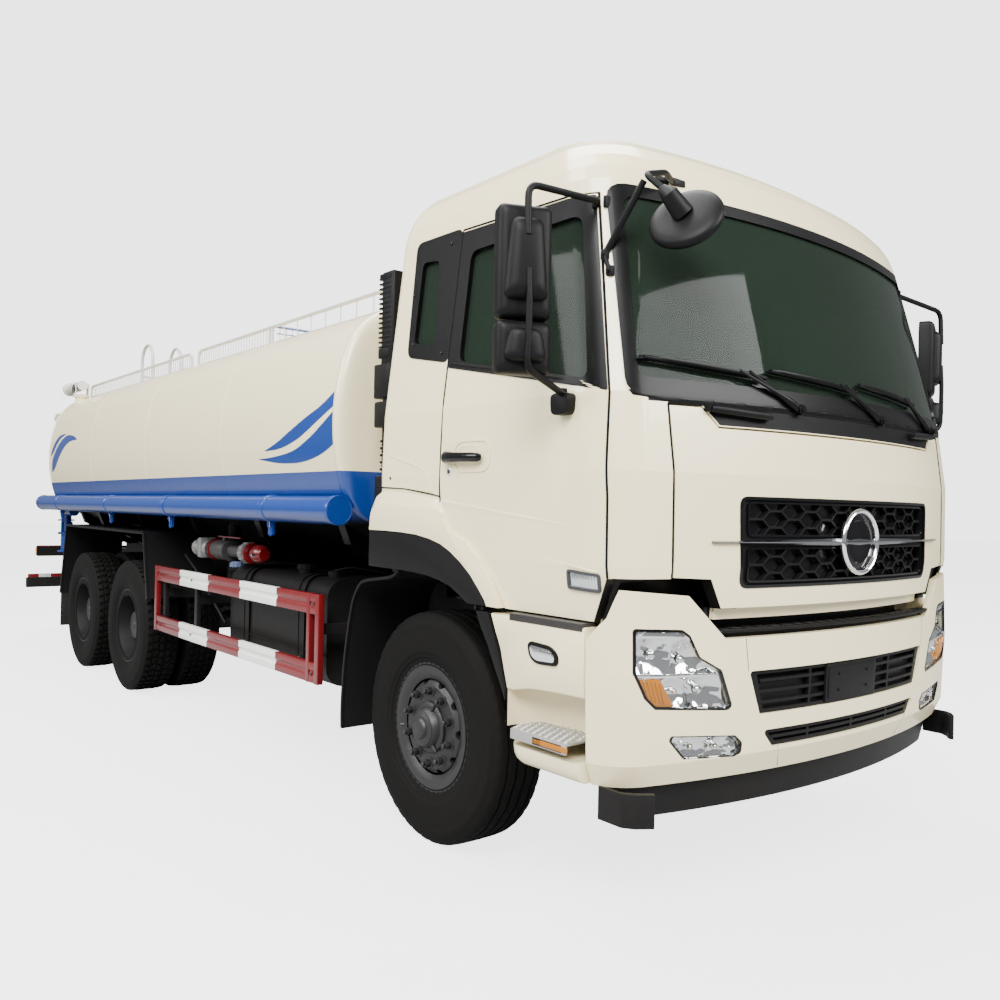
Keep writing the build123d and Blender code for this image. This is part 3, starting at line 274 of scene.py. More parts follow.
# %% [markdown]
# Each finish is one row of numbers: its clean colour, its gloss, how much dust it takes and how its surface
# is broken up. Paint also has a clear coat. One function turns a row into a material, so a finish can be
# judged against its neighbours in the table rather than hunted for in node trees.

# %% Finishes
FINISHES = {
    # name: colour, roughness, metal, coat, dust, dust height, relief group, relief scale, relief strength
    "cab_paint": ((0.83, 0.725, 0.45), 0.30, 0.0, 0.55, 0.06, 1.2, ORANGE_PEEL, 70.0, 0.03),
    "tank_paint": ((0.80, 0.71, 0.46), 0.32, 0.0, 0.45, 0.04, 1.6, ORANGE_PEEL, 45.0, 0.04),
    "blue_paint": ((0.0003, 0.030, 0.19), 0.30, 0.0, 0.30, 0.02, 1.6, ORANGE_PEEL, 60.0, 0.05),
    "chassis_paint": ((0.0035, 0.0035, 0.004), 0.45, 0.0, 0.05, 0.08, 1.3, GRAIN, 260.0, 0.08),
    "black_plastic": ((0.0042, 0.0042, 0.0046), 0.45, 0.0, 0.0, 0.03, 1.4, GRAIN, 900.0, 0.10),
    "trim_black": ((0.0025, 0.0025, 0.0028), 0.34, 0.0, 0.05, 0.02, 1.4, GRAIN, 700.0, 0.05),
    "lining": ((0.010, 0.011, 0.011), 0.85, 0.0, 0.0, 0.0, 1.4, GRAIN, 900.0, 0.15),
    # Painted shade: the grey of the bumper seams stands for the shade in their grooves.
    "seam": ((0.16, 0.155, 0.145), 0.6, 0.0, 0.0, 0.10, 1.4, GRAIN, 700.0, 0.05),
    # Painted shade: black for strips in gaps and grooves, where the shade falls inside them.
    "gap_black": ((0.003, 0.003, 0.003), 0.8, 0.0, 0.0, 0.0, 1.4, GRAIN, 700.0, 0.05),
    "gloss_black": ((0.004, 0.004, 0.0045), 0.16, 0.0, 0.3, 0.02, 1.0, ORANGE_PEEL, 60.0, 0.02),
    "chrome": ((0.92, 0.93, 0.94), 0.09, 1.0, 0.0, 0.02, 1.0, ORANGE_PEEL, 90.0, 0.02),
    "grey_chrome": ((0.17, 0.175, 0.185), 0.24, 1.0, 0.0, 0.02, 1.0, ORANGE_PEEL, 90.0, 0.02),
    "rim_paint": ((0.0062, 0.0064, 0.0072), 0.48, 0.10, 0.0, 0.03, 1.2, GRAIN, 420.0, 0.08),
    "tread_metal": ((0.44, 0.44, 0.43), 0.42, 0.75, 0.0, 0.20, 1.2, GRAIN, 300.0, 0.12),
    "rubber": ((0.004, 0.004, 0.0045), 0.62, 0.0, 0.0, 0.10, 1.3, GRAIN, 500.0, 0.14),
    "tyre_rubber": ((0.0030, 0.0027, 0.0024), 0.75, 0.0, 0.0, 0.002, 1.1, GRAIN, 420.0, 0.12),
    "trim_plastic": ((0.030, 0.031, 0.034), 0.6, 0.0, 0.0, 0.05, 1.0, GRAIN, 800.0, 0.12),
    "seat_fabric": ((0.030, 0.031, 0.036), 0.85, 0.0, 0.0, 0.05, 1.0, GRAIN, 1200.0, 0.35),
    "rail_paint": ((0.50, 0.485, 0.44), 0.35, 0.0, 0.2, 0.05, 3.0, ORANGE_PEEL, 90.0, 0.04),
    "iron": ((0.055, 0.052, 0.050), 0.5, 0.6, 0.0, 0.15, 1.3, GRAIN, 260.0, 0.2),
    "red_paint": ((0.12, 0.0008, 0.003), 0.32, 0.0, 0.35, 0.05, 1.4, ORANGE_PEEL, 70.0, 0.04),
    "mirror_glass": ((0.75, 0.77, 0.78), 0.03, 1.0, 0.0, 0.0, 1.0, ORANGE_PEEL, 20.0, 0.0),
    "amber": ((0.37, 0.125, 0.0001), 0.22, 0.0, 0.05, 0.0, 1.0, GRAIN, 240.0, 0.25),
    "tail_lens": ((0.42, 0.008, 0.008), 0.2, 0.0, 0.4, 0.05, 1.0, GRAIN, 200.0, 0.25),
    "plate_blank": ((0.52, 0.53, 0.53), 0.4, 0.2, 0.0, 0.1, 1.0, ORANGE_PEEL, 60.0, 0.03),
    "blue_cap": ((0.09, 0.12, 0.22), 0.45, 0.0, 0.0, 0.1, 1.3, GRAIN, 260.0, 0.12),
    "valve_grey": ((0.20, 0.20, 0.195), 0.38, 0.3, 0.0, 0.15, 1.3, GRAIN, 260.0, 0.15),
}


COAT_ROUGHNESS = 0.06
# Black parts reflect little, or the bright floor would turn them grey.
BLACK_BELOW = 0.03
BLACK_SPECULAR = 0.12


def colour4(rgb):
    return (*rgb, 1.0)


def begin_material(name):
    material = bpy.data.materials.new(name)
    material.use_nodes = True
    tree = material.node_tree
    return material, tree, tree.nodes["Principled BSDF"]


def add_relief(tree, shader, group, scale, strength):
    relief = node(tree, "ShaderNodeGroup", {"node_tree": group}, Scale=scale)
    bump = node(tree, "ShaderNodeBump", Strength=strength, Distance=0.002, Height=relief.outputs["Height"])
    tree.links.new(bump.outputs[0], shader.inputs["Normal"])


def add_dust(tree, shader, clean, gloss, amount, height):
    """Dust over a clean colour, which may be a colour or a socket that carries a pattern."""
    dust = node(tree, "ShaderNodeGroup", {"node_tree": DUST}, Clean=clean, Gloss=gloss, Amount=amount,
                Height=height)
    tree.links.new(dust.outputs["Color"], shader.inputs["Base Color"])
    tree.links.new(dust.outputs["Roughness"], shader.inputs["Roughness"])


def finish_material(name, pattern=None):
    """A finish from its row in the table; pattern(tree, colour) may return a painted pattern's socket."""
    rgb, gloss, metal, coat, dust, height, relief, scale, strength = FINISHES[name]
    material, tree, shader = begin_material(name)
    shader.inputs["Metallic"].default_value = metal
    shader.inputs["Coat Weight"].default_value = coat
    shader.inputs["Coat Roughness"].default_value = COAT_ROUGHNESS
    if metal == 0.0 and max(rgb) < BLACK_BELOW:
        shader.inputs["Specular IOR Level"].default_value = BLACK_SPECULAR
    clean = pattern(tree, colour4(rgb)) if pattern else colour4(rgb)
    add_dust(tree, shader, clean, gloss, dust, height)
    add_relief(tree, shader, relief, scale, strength)
    return material


print("finishes in the table:", len(FINISHES))

# %% [markdown]
# Two finishes carry a pattern. The tank is blue below a level line and black further down, where the black is
# painted shade for its underside below the hose tube, and the side guards are banded red and white, with
# lengths a rule fixes. Both patterns follow the object's own coordinates: height for the tank, length for the
# guards, so they stay put from any side.

# %% Painted patterns
BLUE_LINE_Z = 1.742
# Painted shade: below this height the tank is painted black for the shade of its underside.
UNDERSIDE_SHADE_Z = 1.50
GUARD_START_Y = 0.98 + AXLE_ROW_Y
GUARD_BAND = 0.54
WHITE_BAND = (0.80, 0.79, 0.76, 1.0)


def own_coordinate(tree, index):
    """The object's own x, y or z, as a socket."""
    place = node(tree, "ShaderNodeTexCoord").outputs["Object"]
    return node(tree, "ShaderNodeSeparateXYZ", i0=place).outputs[index]


def blue_below_line(tree, white):
    height = own_coordinate(tree, 2)
    below = math_node(tree, "MULTIPLY", math_node(tree, "SUBTRACT", BLUE_LINE_Z, height), 1500.0, clamp=True)
    # Painted shade: the tank turns black below a set height, standing in for the shade under the hose tube.
    underside_shade = math_node(tree, "MULTIPLY", math_node(tree, "SUBTRACT", UNDERSIDE_SHADE_Z, height), 25.0, clamp=True)
    blue = mix_colour(tree, underside_shade, colour4(FINISHES["blue_paint"][0]), colour4(FINISHES["chassis_paint"][0]))
    return mix_colour(tree, below, white, blue)


def guard_bands(tree, red):
    length = own_coordinate(tree, 1)
    count = math_node(tree, "DIVIDE", math_node(tree, "SUBTRACT", length, GUARD_START_Y), GUARD_BAND)
    odd = math_node(tree, "FRACT", math_node(tree, "MULTIPLY", count, 0.5))
    return mix_colour(tree, math_node(tree, "GREATER_THAN", odd, 0.5), red, WHITE_BAND)


MATERIALS = {name: finish_material(name) for name in FINISHES if name != "tank_paint"}
MATERIALS["tank_paint"] = finish_material("tank_paint", blue_below_line)
FINISHES["guard_paint"] = FINISHES["red_paint"]
MATERIALS["guard_paint"] = finish_material("guard_paint", guard_bands)
print("materials ready:", len(MATERIALS))

# %% [markdown]
# Glass is the hardest finish on a vehicle. Cab glass is tinted dark green and shows the cabin only dimly.
# Its reflection is kept faint, since the soft boxes would otherwise lie on the windscreen as pale patches.
# Lamp covers are almost clear. Mixed-in transparency renders fast, where true refraction would be noisy.

# %% Glass


def glass_material(name, tint, alpha):
    """Tinted glass with a faint reflection; alpha is how much it hides of what lies behind."""
    material, tree, shader = begin_material(name)
    shader.inputs["Roughness"].default_value = 0.03
    shader.inputs["IOR"].default_value = 1.45
    shader.inputs["Specular IOR Level"].default_value = 0.07
    place = node(tree, "ShaderNodeTexCoord").outputs["Object"]
    clouds = node(tree, "ShaderNodeTexNoise", Vector=place, Scale=1.7, Detail=2.0).outputs[0]
    uneven = mix_colour(tree, clouds, colour4(tint), colour4([c * 1.25 for c in tint]))
    tree.links.new(uneven, shader.inputs["Base Color"])
    bump = node(tree, "ShaderNodeBump", Strength=0.02, Distance=0.002, Height=clouds)
    tree.links.new(bump.outputs[0], shader.inputs["Normal"])
    shader.inputs["Alpha"].default_value = alpha
    return material


MATERIALS["glass"] = glass_material("glass", (0.010, 0.016, 0.011), 0.86)
MATERIALS["lamp_glass"] = glass_material("lamp_glass", (0.10, 0.11, 0.11), 0.07)
print("finishes:", len(MATERIALS))

# %% [markdown]
# The frame's own nodes carry a slot name that says what they are made of. Where the shape is already right,
# the node only needs the finish of that name.

# %% Finish of the carried nodes
NODE_FINISH = {subpart["node"]: subpart["material_slot"] for subpart in frame["record"]["subparts"]}
for name, obj in frame["nodes"].items():
    finish = NODE_FINISH[name]
    obj.data.materials.clear()
    obj.data.materials.append(MATERIALS[finish])
print("slots used:", sorted(set(NODE_FINISH.values())))

# %% [markdown]
# Small vehicle parts are sawn, bent, turned and pressed. The helper below does the same to meshes: it
# collects prisms, turned profiles and bent tubes that belong to one piece, all drawn in millimetres, rounds
# their edges so they catch the light, and makes one object that rides on its body.

# %% A workbench for pieces
SHARP_ANGLE = math.radians(38)
ROUND_STEPS = 2
TUBE_STEPS = 5
# For each axis: the two coordinates across it, and the one along it.
AXES = {"x": (1, 2, 0), "y": (0, 2, 1), "z": (0, 1, 2)}
SIDES = (("right", -1), ("left", 1))


def placed(axis, across, up, along):
    """A point from its two coordinates across an axis and its place along it."""
    point = [0.0, 0.0, 0.0]
    for index, value in zip(AXES[axis], (across, up, along)):
        point[index] = value
    return point


def circle_of(centre, radius, count, axis="z", phase=0.0):
    """Points evenly spaced on a circle about an axis; phase is a share of one step."""
    first, second, third = AXES[axis]
    for k in range(count):
        angle = 2 * math.pi * (k + phase) / count
        yield placed(axis, centre[first] + radius * math.cos(angle),
                     centre[second] + radius * math.sin(angle),
                     centre[third])


def curved_corner(before, corner, after, reach, steps):
    """Points of the arc that replaces a corner, which starts and ends at most halfway to its neighbours."""
    back, ahead = before - corner, after - corner
    reach = min(reach, back.length * 0.49, ahead.length * 0.49)
    start, end = corner + back.normalized() * reach, corner + ahead.normalized() * reach
    shares = [step / steps for step in range(steps + 1)]
    return [start * (1 - t) ** 2 + corner * 2 * t * (1 - t) + end * t ** 2 for t in shares]


def rounded_outline(points, radius, steps=4):
    """An outline with each corner rounded by the radius, or by its own where the point has a third value."""
    result = []
    count = len(points)
    for index, point in enumerate(points):
        before, corner, after = (Vector(p[:2])
                                 for p in (points[index - 1], point, points[(index + 1) % count]))
        reach = point[2] if len(point) > 2 else radius
        result += [tuple(p) for p in curved_corner(before, corner, after, reach, steps)]
    return result


def bent_path(points, bend):
    """The corners of a bent tube replaced by arcs, as points along its middle."""
    points = [Vector(point) for point in points]
    path = [points[0]]
    for before, corner, after in zip(points, points[1:], points[2:]):
        path += curved_corner(before, corner, after, bend, TUBE_STEPS)
    return path + [points[-1]]


def band(low, high, count):
    """Quads between two rings of points, which start at the indices low and high."""
    return [(low + i, low + (i + 1) % count, high + (i + 1) % count, high + i) for i in range(count)]


def lids(count, rings):
    """The faces that close the first and the last ring."""
    return [tuple(range(count - 1, -1, -1)), tuple((rings - 1) * count + i for i in range(count))]


class Shape:
    """The solids of one piece, in drawing millimetres, each part with its own finish."""

    def __init__(self, finish):
        self.mesh = bmesh.new()
        self.finishes = [finish]
        self.paint = 0

    def use(self, finish):
        if finish not in self.finishes:
            self.finishes.append(finish)
        self.paint = self.finishes.index(finish)
        return self

    def add(self, points, faces):
        made = [self.mesh.verts.new(point) for point in points]
        built = []
        for face in faces:
            new = self.mesh.faces.new([made[index] for index in face])
            new.material_index = self.paint
            built.append(new)
        bmesh.ops.recalc_face_normals(self.mesh, faces=built)
        return built

    def round_off(self, built, edge):
        """Bevel the sharp edges of the faces just made."""
        edges = {e for f in built for e in f.edges
                 if len(e.link_faces) == 2 and e.calc_face_angle() > SHARP_ANGLE}
        if edge and edges:
            bmesh.ops.bevel(self.mesh, geom=list(edges), offset=edge, segments=ROUND_STEPS, affect="EDGES",
                            profile=0.6, material=-1, clamp_overlap=True)

    def prism(self, outline, axis, low, high, edge=2.0):
        """An outline pushed along an axis: (y, z) points for x, (x, z) for y and (x, y) for z."""
        count = len(outline)
        points = [placed(axis, pair[0], pair[1], level) for level in (low, high) for pair in outline]
        self.round_off(self.add(points, lids(count, 2) + band(0, count, count)), edge)
        return self

    def box(self, x, y, z, edge=2.0):
        return self.prism([(x[0], y[0]), (x[1], y[0]), (x[1], y[1]), (x[0], y[1])], "z", z[0], z[1], edge)

    def turned(self, profile, centre, axis="x", steps=40, closed=False, cap=True):
        """A profile of (along, radius) turned about an axis through the centre."""
        points = []
        for along, radius in profile:
            middle = [value + (along if index == AXES[axis][2] else 0) for index, value in enumerate(centre)]
            points += circle_of(middle, radius, steps, axis)
        rows = len(profile)
        faces = []
        for row in range(rows if closed else rows - 1):
            faces += band(row * steps, ((row + 1) % rows) * steps, steps)
        if cap and not closed:
            faces += lids(steps, rows)
        self.add(points, faces)
        return self

    def rod(self, start, end, radius, sides=16, edge=1.0):
        """A round bar with slightly broken end edges, from start to end."""
        start, end = Vector(start), Vector(end)
        along = (end - start).normalized()
        path = [start, start + along * edge, end - along * edge, end]
        return self.sweep(path, [radius - edge, radius, radius, radius - edge], sides)

    def tube(self, points, radius, bend=0.0, sides=12):
        path = bent_path(points, bend) if bend else [Vector(point) for point in points]
        return self.sweep(path, [radius] * len(path), sides)

    def sweep(self, path, radii, sides, flat=1.0):
        """Rings of the given radii along a path; flat squeezes the rings in their second direction."""
        tangents = []
        for index in range(len(path)):
            before = path[max(index - 1, 0)]
            after = path[min(index + 1, len(path) - 1)]
            tangents.append((after - before).normalized())
        start = Vector((0, 0, 1)) if abs(tangents[0].z) < 0.9 else Vector((0, 1, 0))
        normal = (start - tangents[0] * start.dot(tangents[0])).normalized()
        points = []
        for place, tangent, radius in zip(path, tangents, radii):
            normal = (normal - tangent * normal.dot(tangent)).normalized()
            across = tangent.cross(normal)
            for side in range(sides):
                angle = 2 * math.pi * side / sides
                high, wide = math.cos(angle), math.sin(angle)
                points.append(place + normal * radius * high + across * radius * flat * wide)
        faces = []
        for ring in range(len(path) - 1):
            faces += band(ring * sides, (ring + 1) * sides, sides)
        self.add(points, faces + lids(sides, len(path)))
        return self

    def loft(self, rings, edge=0.0, cap=True):
        """Closed rings of equal length joined one to the next."""
        count = len(rings[0])
        points = [point for ring in rings for point in ring]
        faces = []
        for ring in range(len(rings) - 1):
            faces += band(ring * count, (ring + 1) * count, count)
        if cap:
            faces += lids(count, len(rings))
        self.round_off(self.add(points, faces), edge)
        return self

    def hex_nut(self, place, axis, across, height, edge=1.5):
        """A hexagon of a nut's size across its flats, standing on place along an axis."""
        first, second, third = AXES[axis]
        outline = [(p[first], p[second]) for p in circle_of(place, across / math.sqrt(3), 6, axis)]
        low, high = sorted((place[third], place[third] + height))
        return self.prism(outline, axis, low, high, edge)

    def everything(self):
        return list(self.mesh.verts) + list(self.mesh.edges) + list(self.mesh.faces)

    def cut_across(self, axis, spacing):
        """Slice long faces at even steps along an axis, so that they can follow a curve."""
        index = "xyz".index(axis)
        values = [v.co[index] for v in self.mesh.verts]
        direction = Vector([1.0 if k == index else 0.0 for k in range(3)])
        step = math.ceil(min(values) / spacing)
        while step * spacing < max(values):
            bmesh.ops.bisect_plane(self.mesh, geom=self.everything(), plane_co=direction * step * spacing,
                                   plane_no=direction, dist=0.01)
            step += 1
        return self

    def bend_onto(self, surface):
        """Move every point by a rule, such as onto the bowed front of the cab."""
        for vertex in self.mesh.verts:
            vertex.co = surface(*vertex.co)
        return self

    def both_sides(self):
        """Add the mirror image on the truck's other side."""
        return self.mirrored(bmesh.ops.duplicate(self.mesh, geom=self.everything())["geom"])

    def mirrored(self, items=None):
        """Turn the piece, or only some items of it, into its mirror image."""
        items = items or self.everything()
        for item in items:
            if isinstance(item, bmesh.types.BMVert):
                item.co.x = -item.co.x
        faces = [item for item in items if isinstance(item, bmesh.types.BMFace)]
        bmesh.ops.reverse_faces(self.mesh, faces=faces)
        return self

    def done(self, name, body, slot=None, replaces=(), sharp=SHARP_ANGLE):
        """Make the object, in metres on the frame, and let it ride on its body."""
        for vertex in self.mesh.verts:
            vertex.co = at(*vertex.co)
        data = bpy.data.meshes.new(name)
        self.mesh.to_mesh(data)
        self.mesh.free()
        for finish in self.finishes:
            data.materials.append(MATERIALS[finish])
        data.polygons.foreach_set("use_smooth", [True] * len(data.polygons))
        data.set_sharp_from_angle(angle=sharp)
        piece = bpy.data.objects.new(name, data)
        bpy.context.scene.collection.objects.link(piece)
        return settle(piece, body, replaces)


def settle(piece, body, replaces=()):
    """The frame's bookkeeping for a finished piece, and a line that says what was made."""
    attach(piece, body)
    if replaces:
        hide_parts(*replaces)
    print(f"{piece.name} rides on {body}: {len(piece.data.polygons)} faces")
    return piece


def finish_side(shape, name, body, side, slot=None, replaces=()):
    """A piece drawn for the right side, finished there or as its mirror image on the left."""
    if side == "left":
        shape.mirrored()
    return shape.done(name, body, slot, replaces)


def take_over(shape, part):
    """Move the faces of a part into a shape, in the finish the shape is using."""
    data = bpy.data.meshes.new("part")
    part.mesh.to_mesh(data)
    part.mesh.free()
    first = len(shape.mesh.faces)
    shape.mesh.from_mesh(data)
    shape.mesh.faces.ensure_lookup_table()
    for face in shape.mesh.faces[first:]:
        face.material_index = shape.paint
    bpy.data.meshes.remove(data)
    return shape


square = rounded_outline([(0, 0), (20, 0), (20, 20), (0, 20)], 5)
print("a square with rounded corners has", len(square), "points")

# %% [markdown]
# What repeats is made with Geometry Nodes: wheel nuts, tread blocks, railing bars, ribs. Two trees do all of
# it. One sets copies of a part around a wheel's axle, the other sets copies in a row, and both end as real
# mesh, since instances don't leave Blender.

# %% Trees for repeats


def geometry_tree(name, inputs):
    tree = bpy.data.node_groups.new(name, "GeometryNodeTree")
    tree.interface.new_socket("Geometry", in_out="INPUT", socket_type="NodeSocketGeometry")
    for label, kind, value in inputs:
        socket = tree.interface.new_socket(label, in_out="INPUT", socket_type=kind)
        if value is not None:
            socket.default_value = value
    tree.interface.new_socket("Geometry", in_out="OUTPUT", socket_type="NodeSocketGeometry")
    return tree, tree.nodes.new("NodeGroupInput"), tree.nodes.new("NodeGroupOutput")


def end_tree(tree, entry, leave, instances):
    """Every tree ends in Realize Instances and Set Material."""
    real = node(tree, "GeometryNodeRealizeInstances", Geometry=instances)
    painted = node(tree, "GeometryNodeSetMaterial", Geometry=real.outputs[0],
                   Material=entry.outputs["Finish"])
    tree.links.new(painted.outputs[0], leave.inputs[0])
    return tree


def around_axle_tree():
    tree, entry, leave = geometry_tree("around an axle", [
        ("Count", "NodeSocketInt", 10), ("Phase", "NodeSocketFloat", 0.0),
                                                          ("Centre", "NodeSocketVector", None),
        ("Finish", "NodeSocketMaterial", None)])
    line = node(tree, "GeometryNodeMeshLine", Count=entry.outputs["Count"], Offset=(0.0, 0.0, 0.0))
    step = math_node(tree, "DIVIDE", 2 * math.pi, entry.outputs["Count"])
    index = tree.nodes.new("GeometryNodeInputIndex").outputs[0]
    angle = math_node(tree, "ADD", math_node(tree, "MULTIPLY", index, step), entry.outputs["Phase"])
    turn = node(tree, "ShaderNodeCombineXYZ", X=angle).outputs[0]
    copies = node(tree, "GeometryNodeInstanceOnPoints", Points=line.outputs[0],
                  Instance=entry.outputs["Geometry"], Rotation=turn)
    moved = node(tree, "GeometryNodeTranslateInstances", Instances=copies.outputs[0],
                 Translation=entry.outputs["Centre"])
    moved.inputs["Local Space"].default_value = False
    return end_tree(tree, entry, leave, moved.outputs[0])


def in_a_row_tree():
    tree, entry, leave = geometry_tree("in a row", [
        ("Count", "NodeSocketInt", 10), ("Start", "NodeSocketVector", None),
                                                    ("Step", "NodeSocketVector", None),
        ("Finish", "NodeSocketMaterial", None)])
    line = node(tree, "GeometryNodeMeshLine", Count=entry.outputs["Count"],
                Start_Location=entry.outputs["Start"],
                Offset=entry.outputs["Step"])
    copies = node(tree, "GeometryNodeInstanceOnPoints", Points=line.outputs[0],
                  Instance=entry.outputs["Geometry"])
    return end_tree(tree, entry, leave, copies.outputs[0])


AROUND_AXLE = around_axle_tree()
IN_A_ROW = in_a_row_tree()


def item_mesh(shape):
    """A shape as a bare mesh in metres about its own origin, to be repeated by a tree."""
    bmesh.ops.scale(shape.mesh, vec=(0.001, 0.001, 0.001), verts=shape.mesh.verts)
    data = bpy.data.meshes.new("item")
    shape.mesh.to_mesh(data)
    shape.mesh.free()
    data.polygons.foreach_set("use_smooth", [True] * len(data.polygons))
    data.set_sharp_from_angle(angle=SHARP_ANGLE)
    return data


def repeated(tree, data, finish, **values):
    """Run a tree on an item once and return the plain mesh it makes."""
    carrier = bpy.data.objects.new("carrier", data)
    bpy.context.scene.collection.objects.link(carrier)
    modifier = carrier.modifiers.new("repeat", "NODES")
    modifier.node_group = tree
    for item in tree.interface.items_tree:
        if item.in_out == "INPUT" and item.name in values:
            modifier[item.identifier] = values[item.name]
        if item.in_out == "INPUT" and item.name == "Finish":
            modifier[item.identifier] = MATERIALS[finish]
    made = bpy.data.meshes.new_from_object(carrier.evaluated_get(bpy.context.evaluated_depsgraph_get()))
    bpy.data.objects.remove(carrier)
    return made


def row_of(data, finish, count, start, step):
    """Copies of an item in a row along the truck, a step in metres apart."""
    return repeated(IN_A_ROW, data, finish, Count=count, Start=start, Step=Vector((0, step, 0)))


def joined(name, meshes, body, replaces=()):
    """Several plain meshes as one object on one body."""
    whole = bmesh.new()
    materials = []
    for data in meshes:
        first = len(whole.faces)
        whole.from_mesh(data)
        whole.faces.ensure_lookup_table()
        slots = []
        for material in data.materials:
            if material not in materials:
                materials.append(material)
            slots.append(materials.index(material))
        for face in whole.faces[first:]:
            face.material_index = slots[min(face.material_index, len(slots) - 1)] if slots else 0
    data = bpy.data.meshes.new(name)
    whole.to_mesh(data)
    whole.free()
    for material in materials:
        data.materials.append(material)
    piece = bpy.data.objects.new(name, data)
    bpy.context.scene.collection.objects.link(piece)
    return settle(piece, body, replaces)


print("trees:", AROUND_AXLE.name, "and", IN_A_ROW.name)

# %% [markdown]
# The front tyres steer, so their tread is plain ribs with grooves that wave slightly around the tyre. The
# tyre is turned like a pot from its real section: bead, bulging wall with fine rings, shoulder and ribs. The
# waves come from shifting the groove's edges sideways in step around the turn.

# %% Front tyres
TYRE_STEPS = 192
WAVE_STEPS = 4
SLOT_DEPTH = 5.0
SHOULDER = (116, 124)
# x from the middle and radius; the third value is how far the edge waves along the axle.
SIDE_WALL = [
    (102, 266, 0), (104, 284, 0), (118, 292, 0), (124, 300, 0), (128, 318, 0), (133, 322, 0), (137, 344, 0),
             (140, 348, 0),
    (143, 380, 0), (145, 410, 0), (144.5, 440, 0), (141, 462, 0), (142, 466, 0), (138, 486, 0), (135, 490, 0),
    (130, 508, 0), (124, 521, 0), (116, 529, 0),
]
RIB_TREAD = [
    (108, 531.5, 0), (84, 533.5, 3), (81, 521, 3), (75, 521, 3), (72, 534, 3), (33, 534.6, 3), (30, 521, 3),
             (22, 521, 3),
    (19, 535, 3),
]


def wavy_tyre(shape, centre):
    """A closed turned tyre whose groove edges swing from side to side."""
    half = SIDE_WALL + RIB_TREAD
    profile = half + [(-x, radius, -wave) for x, radius, wave in reversed(half)]
    points = []
    for x, radius, wave in profile:
        for step in range(TYRE_STEPS):
            angle = 2 * math.pi * step / TYRE_STEPS
            swing = abs((step % (2 * WAVE_STEPS)) / WAVE_STEPS - 1) * 2 - 1
            # Short slots bite into the shoulder at every wave.
            bite = SLOT_DEPTH if SHOULDER[0] <= abs(x) <= SHOULDER[1] and step % WAVE_STEPS == 0 else 0.0
            points.append((centre[0] + x + abs(wave) * swing, centre[1] + (radius - bite) * math.cos(angle),
                           centre[2] + (radius - bite) * math.sin(angle)))
    rows = len(profile)
    faces = []
    for row in range(rows):
        faces += band(row * TYRE_STEPS, ((row + 1) % rows) * TYRE_STEPS, TYRE_STEPS)
    shape.add(points, faces)


FRONT_WHEEL_X = 1020
RIB_ANGLE = math.radians(28)
for side, sign in SIDES:
    tyre = Shape("tyre_rubber")
    wavy_tyre(tyre, (sign * FRONT_WHEEL_X, 0, WHEEL_CENTRE_Z))
    tyre.done(f"front_tyre_{side}", f"front_{side}_wheel", "tyre_rubber", [f"tyre_front_{side}"],
              sharp=RIB_ANGLE)
print("front tyres of", TYRE_STEPS, "steps")

# %% [markdown]
# The driven tyres bite with blocks. One pitch of the tread is modelled, five slanted blocks across the
# width, and a tree sets it around the axle fifty-two times. The casing below is turned from the same wall.
# Outer blocks lie lower, since the tread is slightly crowned, and their outer corners are worn off.

# %% Rear tyres
REAR_PITCHES = 52
BLOCK_BASE = 519
BLOCK_TOP = 534
OUTER_DROP = 2.5
CORNER_WEAR = 4.0
# Middle x, half width, half length at the base, how far it is set along the pitch, how far its ends slant.
TREAD_BLOCKS = [(-98, 21, 21, 0, 5), (-51, 19, 22, 14, -6), (0, 20, 22, 0, 6), (51, 19, 22, 14, -6),
                (98, 21, 21, 0, 5)]


def tread_pitch():
    """One pitch of blocks at the top of a tyre, about the tyre's own middle."""
    pitch = Shape("tyre_rubber")
    for middle, half, length, shift, slant in TREAD_BLOCKS:
        crown = OUTER_DROP if abs(middle) > 90 else 0.0
        rings = []
        for radius, inset in ((BLOCK_BASE, 0.0), (BLOCK_TOP - 2, 1.5), (BLOCK_TOP, 4.0)):
            ring = []
            for dx, dy in ((-1, -1), (0, -1), (1, -1), (1, 1), (0, 1), (-1, 1)):
                zig = slant if dx == 0 else -slant / 2
                x = middle + dx * (half - inset)
                worn = CORNER_WEAR if abs(x) > 112 and radius > BLOCK_BASE else 0.0
                ring.append((x, shift + dy * (length - inset) + zig, radius - crown - worn))
            rings.append(ring)
        pitch.loft(rings)
    return item_mesh(pitch)


TREAD_PITCH = tread_pitch()
CASING = SIDE_WALL + [(112, 522, 0), (90, 520, 0), (0, 521, 0)]


def block_tyre(centre):
    """Meshes of one driven tyre: its turned casing and its ring of blocks."""
    casing = Shape("tyre_rubber")
    profile = [row[:2] for row in CASING] + [(-row[0], row[1]) for row in reversed(CASING[:-1])]
    casing.turned(profile, (0, 0, 0), steps=96, closed=True)
    body = item_mesh(casing)
    body.materials.append(MATERIALS["tyre_rubber"])
    body.transform(Matrix.Translation(at(*centre)))
    blocks = repeated(AROUND_AXLE, TREAD_PITCH, "tyre_rubber", Count=REAR_PITCHES, Centre=at(*centre))
    return [body, blocks]


OUTER_TWIN_X = 1094
INNER_TWIN_X = 766
REAR_AXLE_YS = {"middle": 4350, "rear": 5700}
for side, sign in SIDES:
    for place, axle_y in REAR_AXLE_YS.items():
        meshes = []
        for x in (OUTER_TWIN_X, INNER_TWIN_X):
            meshes += block_tyre((sign * x, axle_y, WHEEL_CENTRE_Z))
        joined(f"{place}_tyres_{side}", meshes, f"{place}_{side}_wheels",
               [f"tyres_{place}_{side}"])
print("rear tyres of", REAR_PITCHES, "pitches and", len(TREAD_BLOCKS), "blocks each")
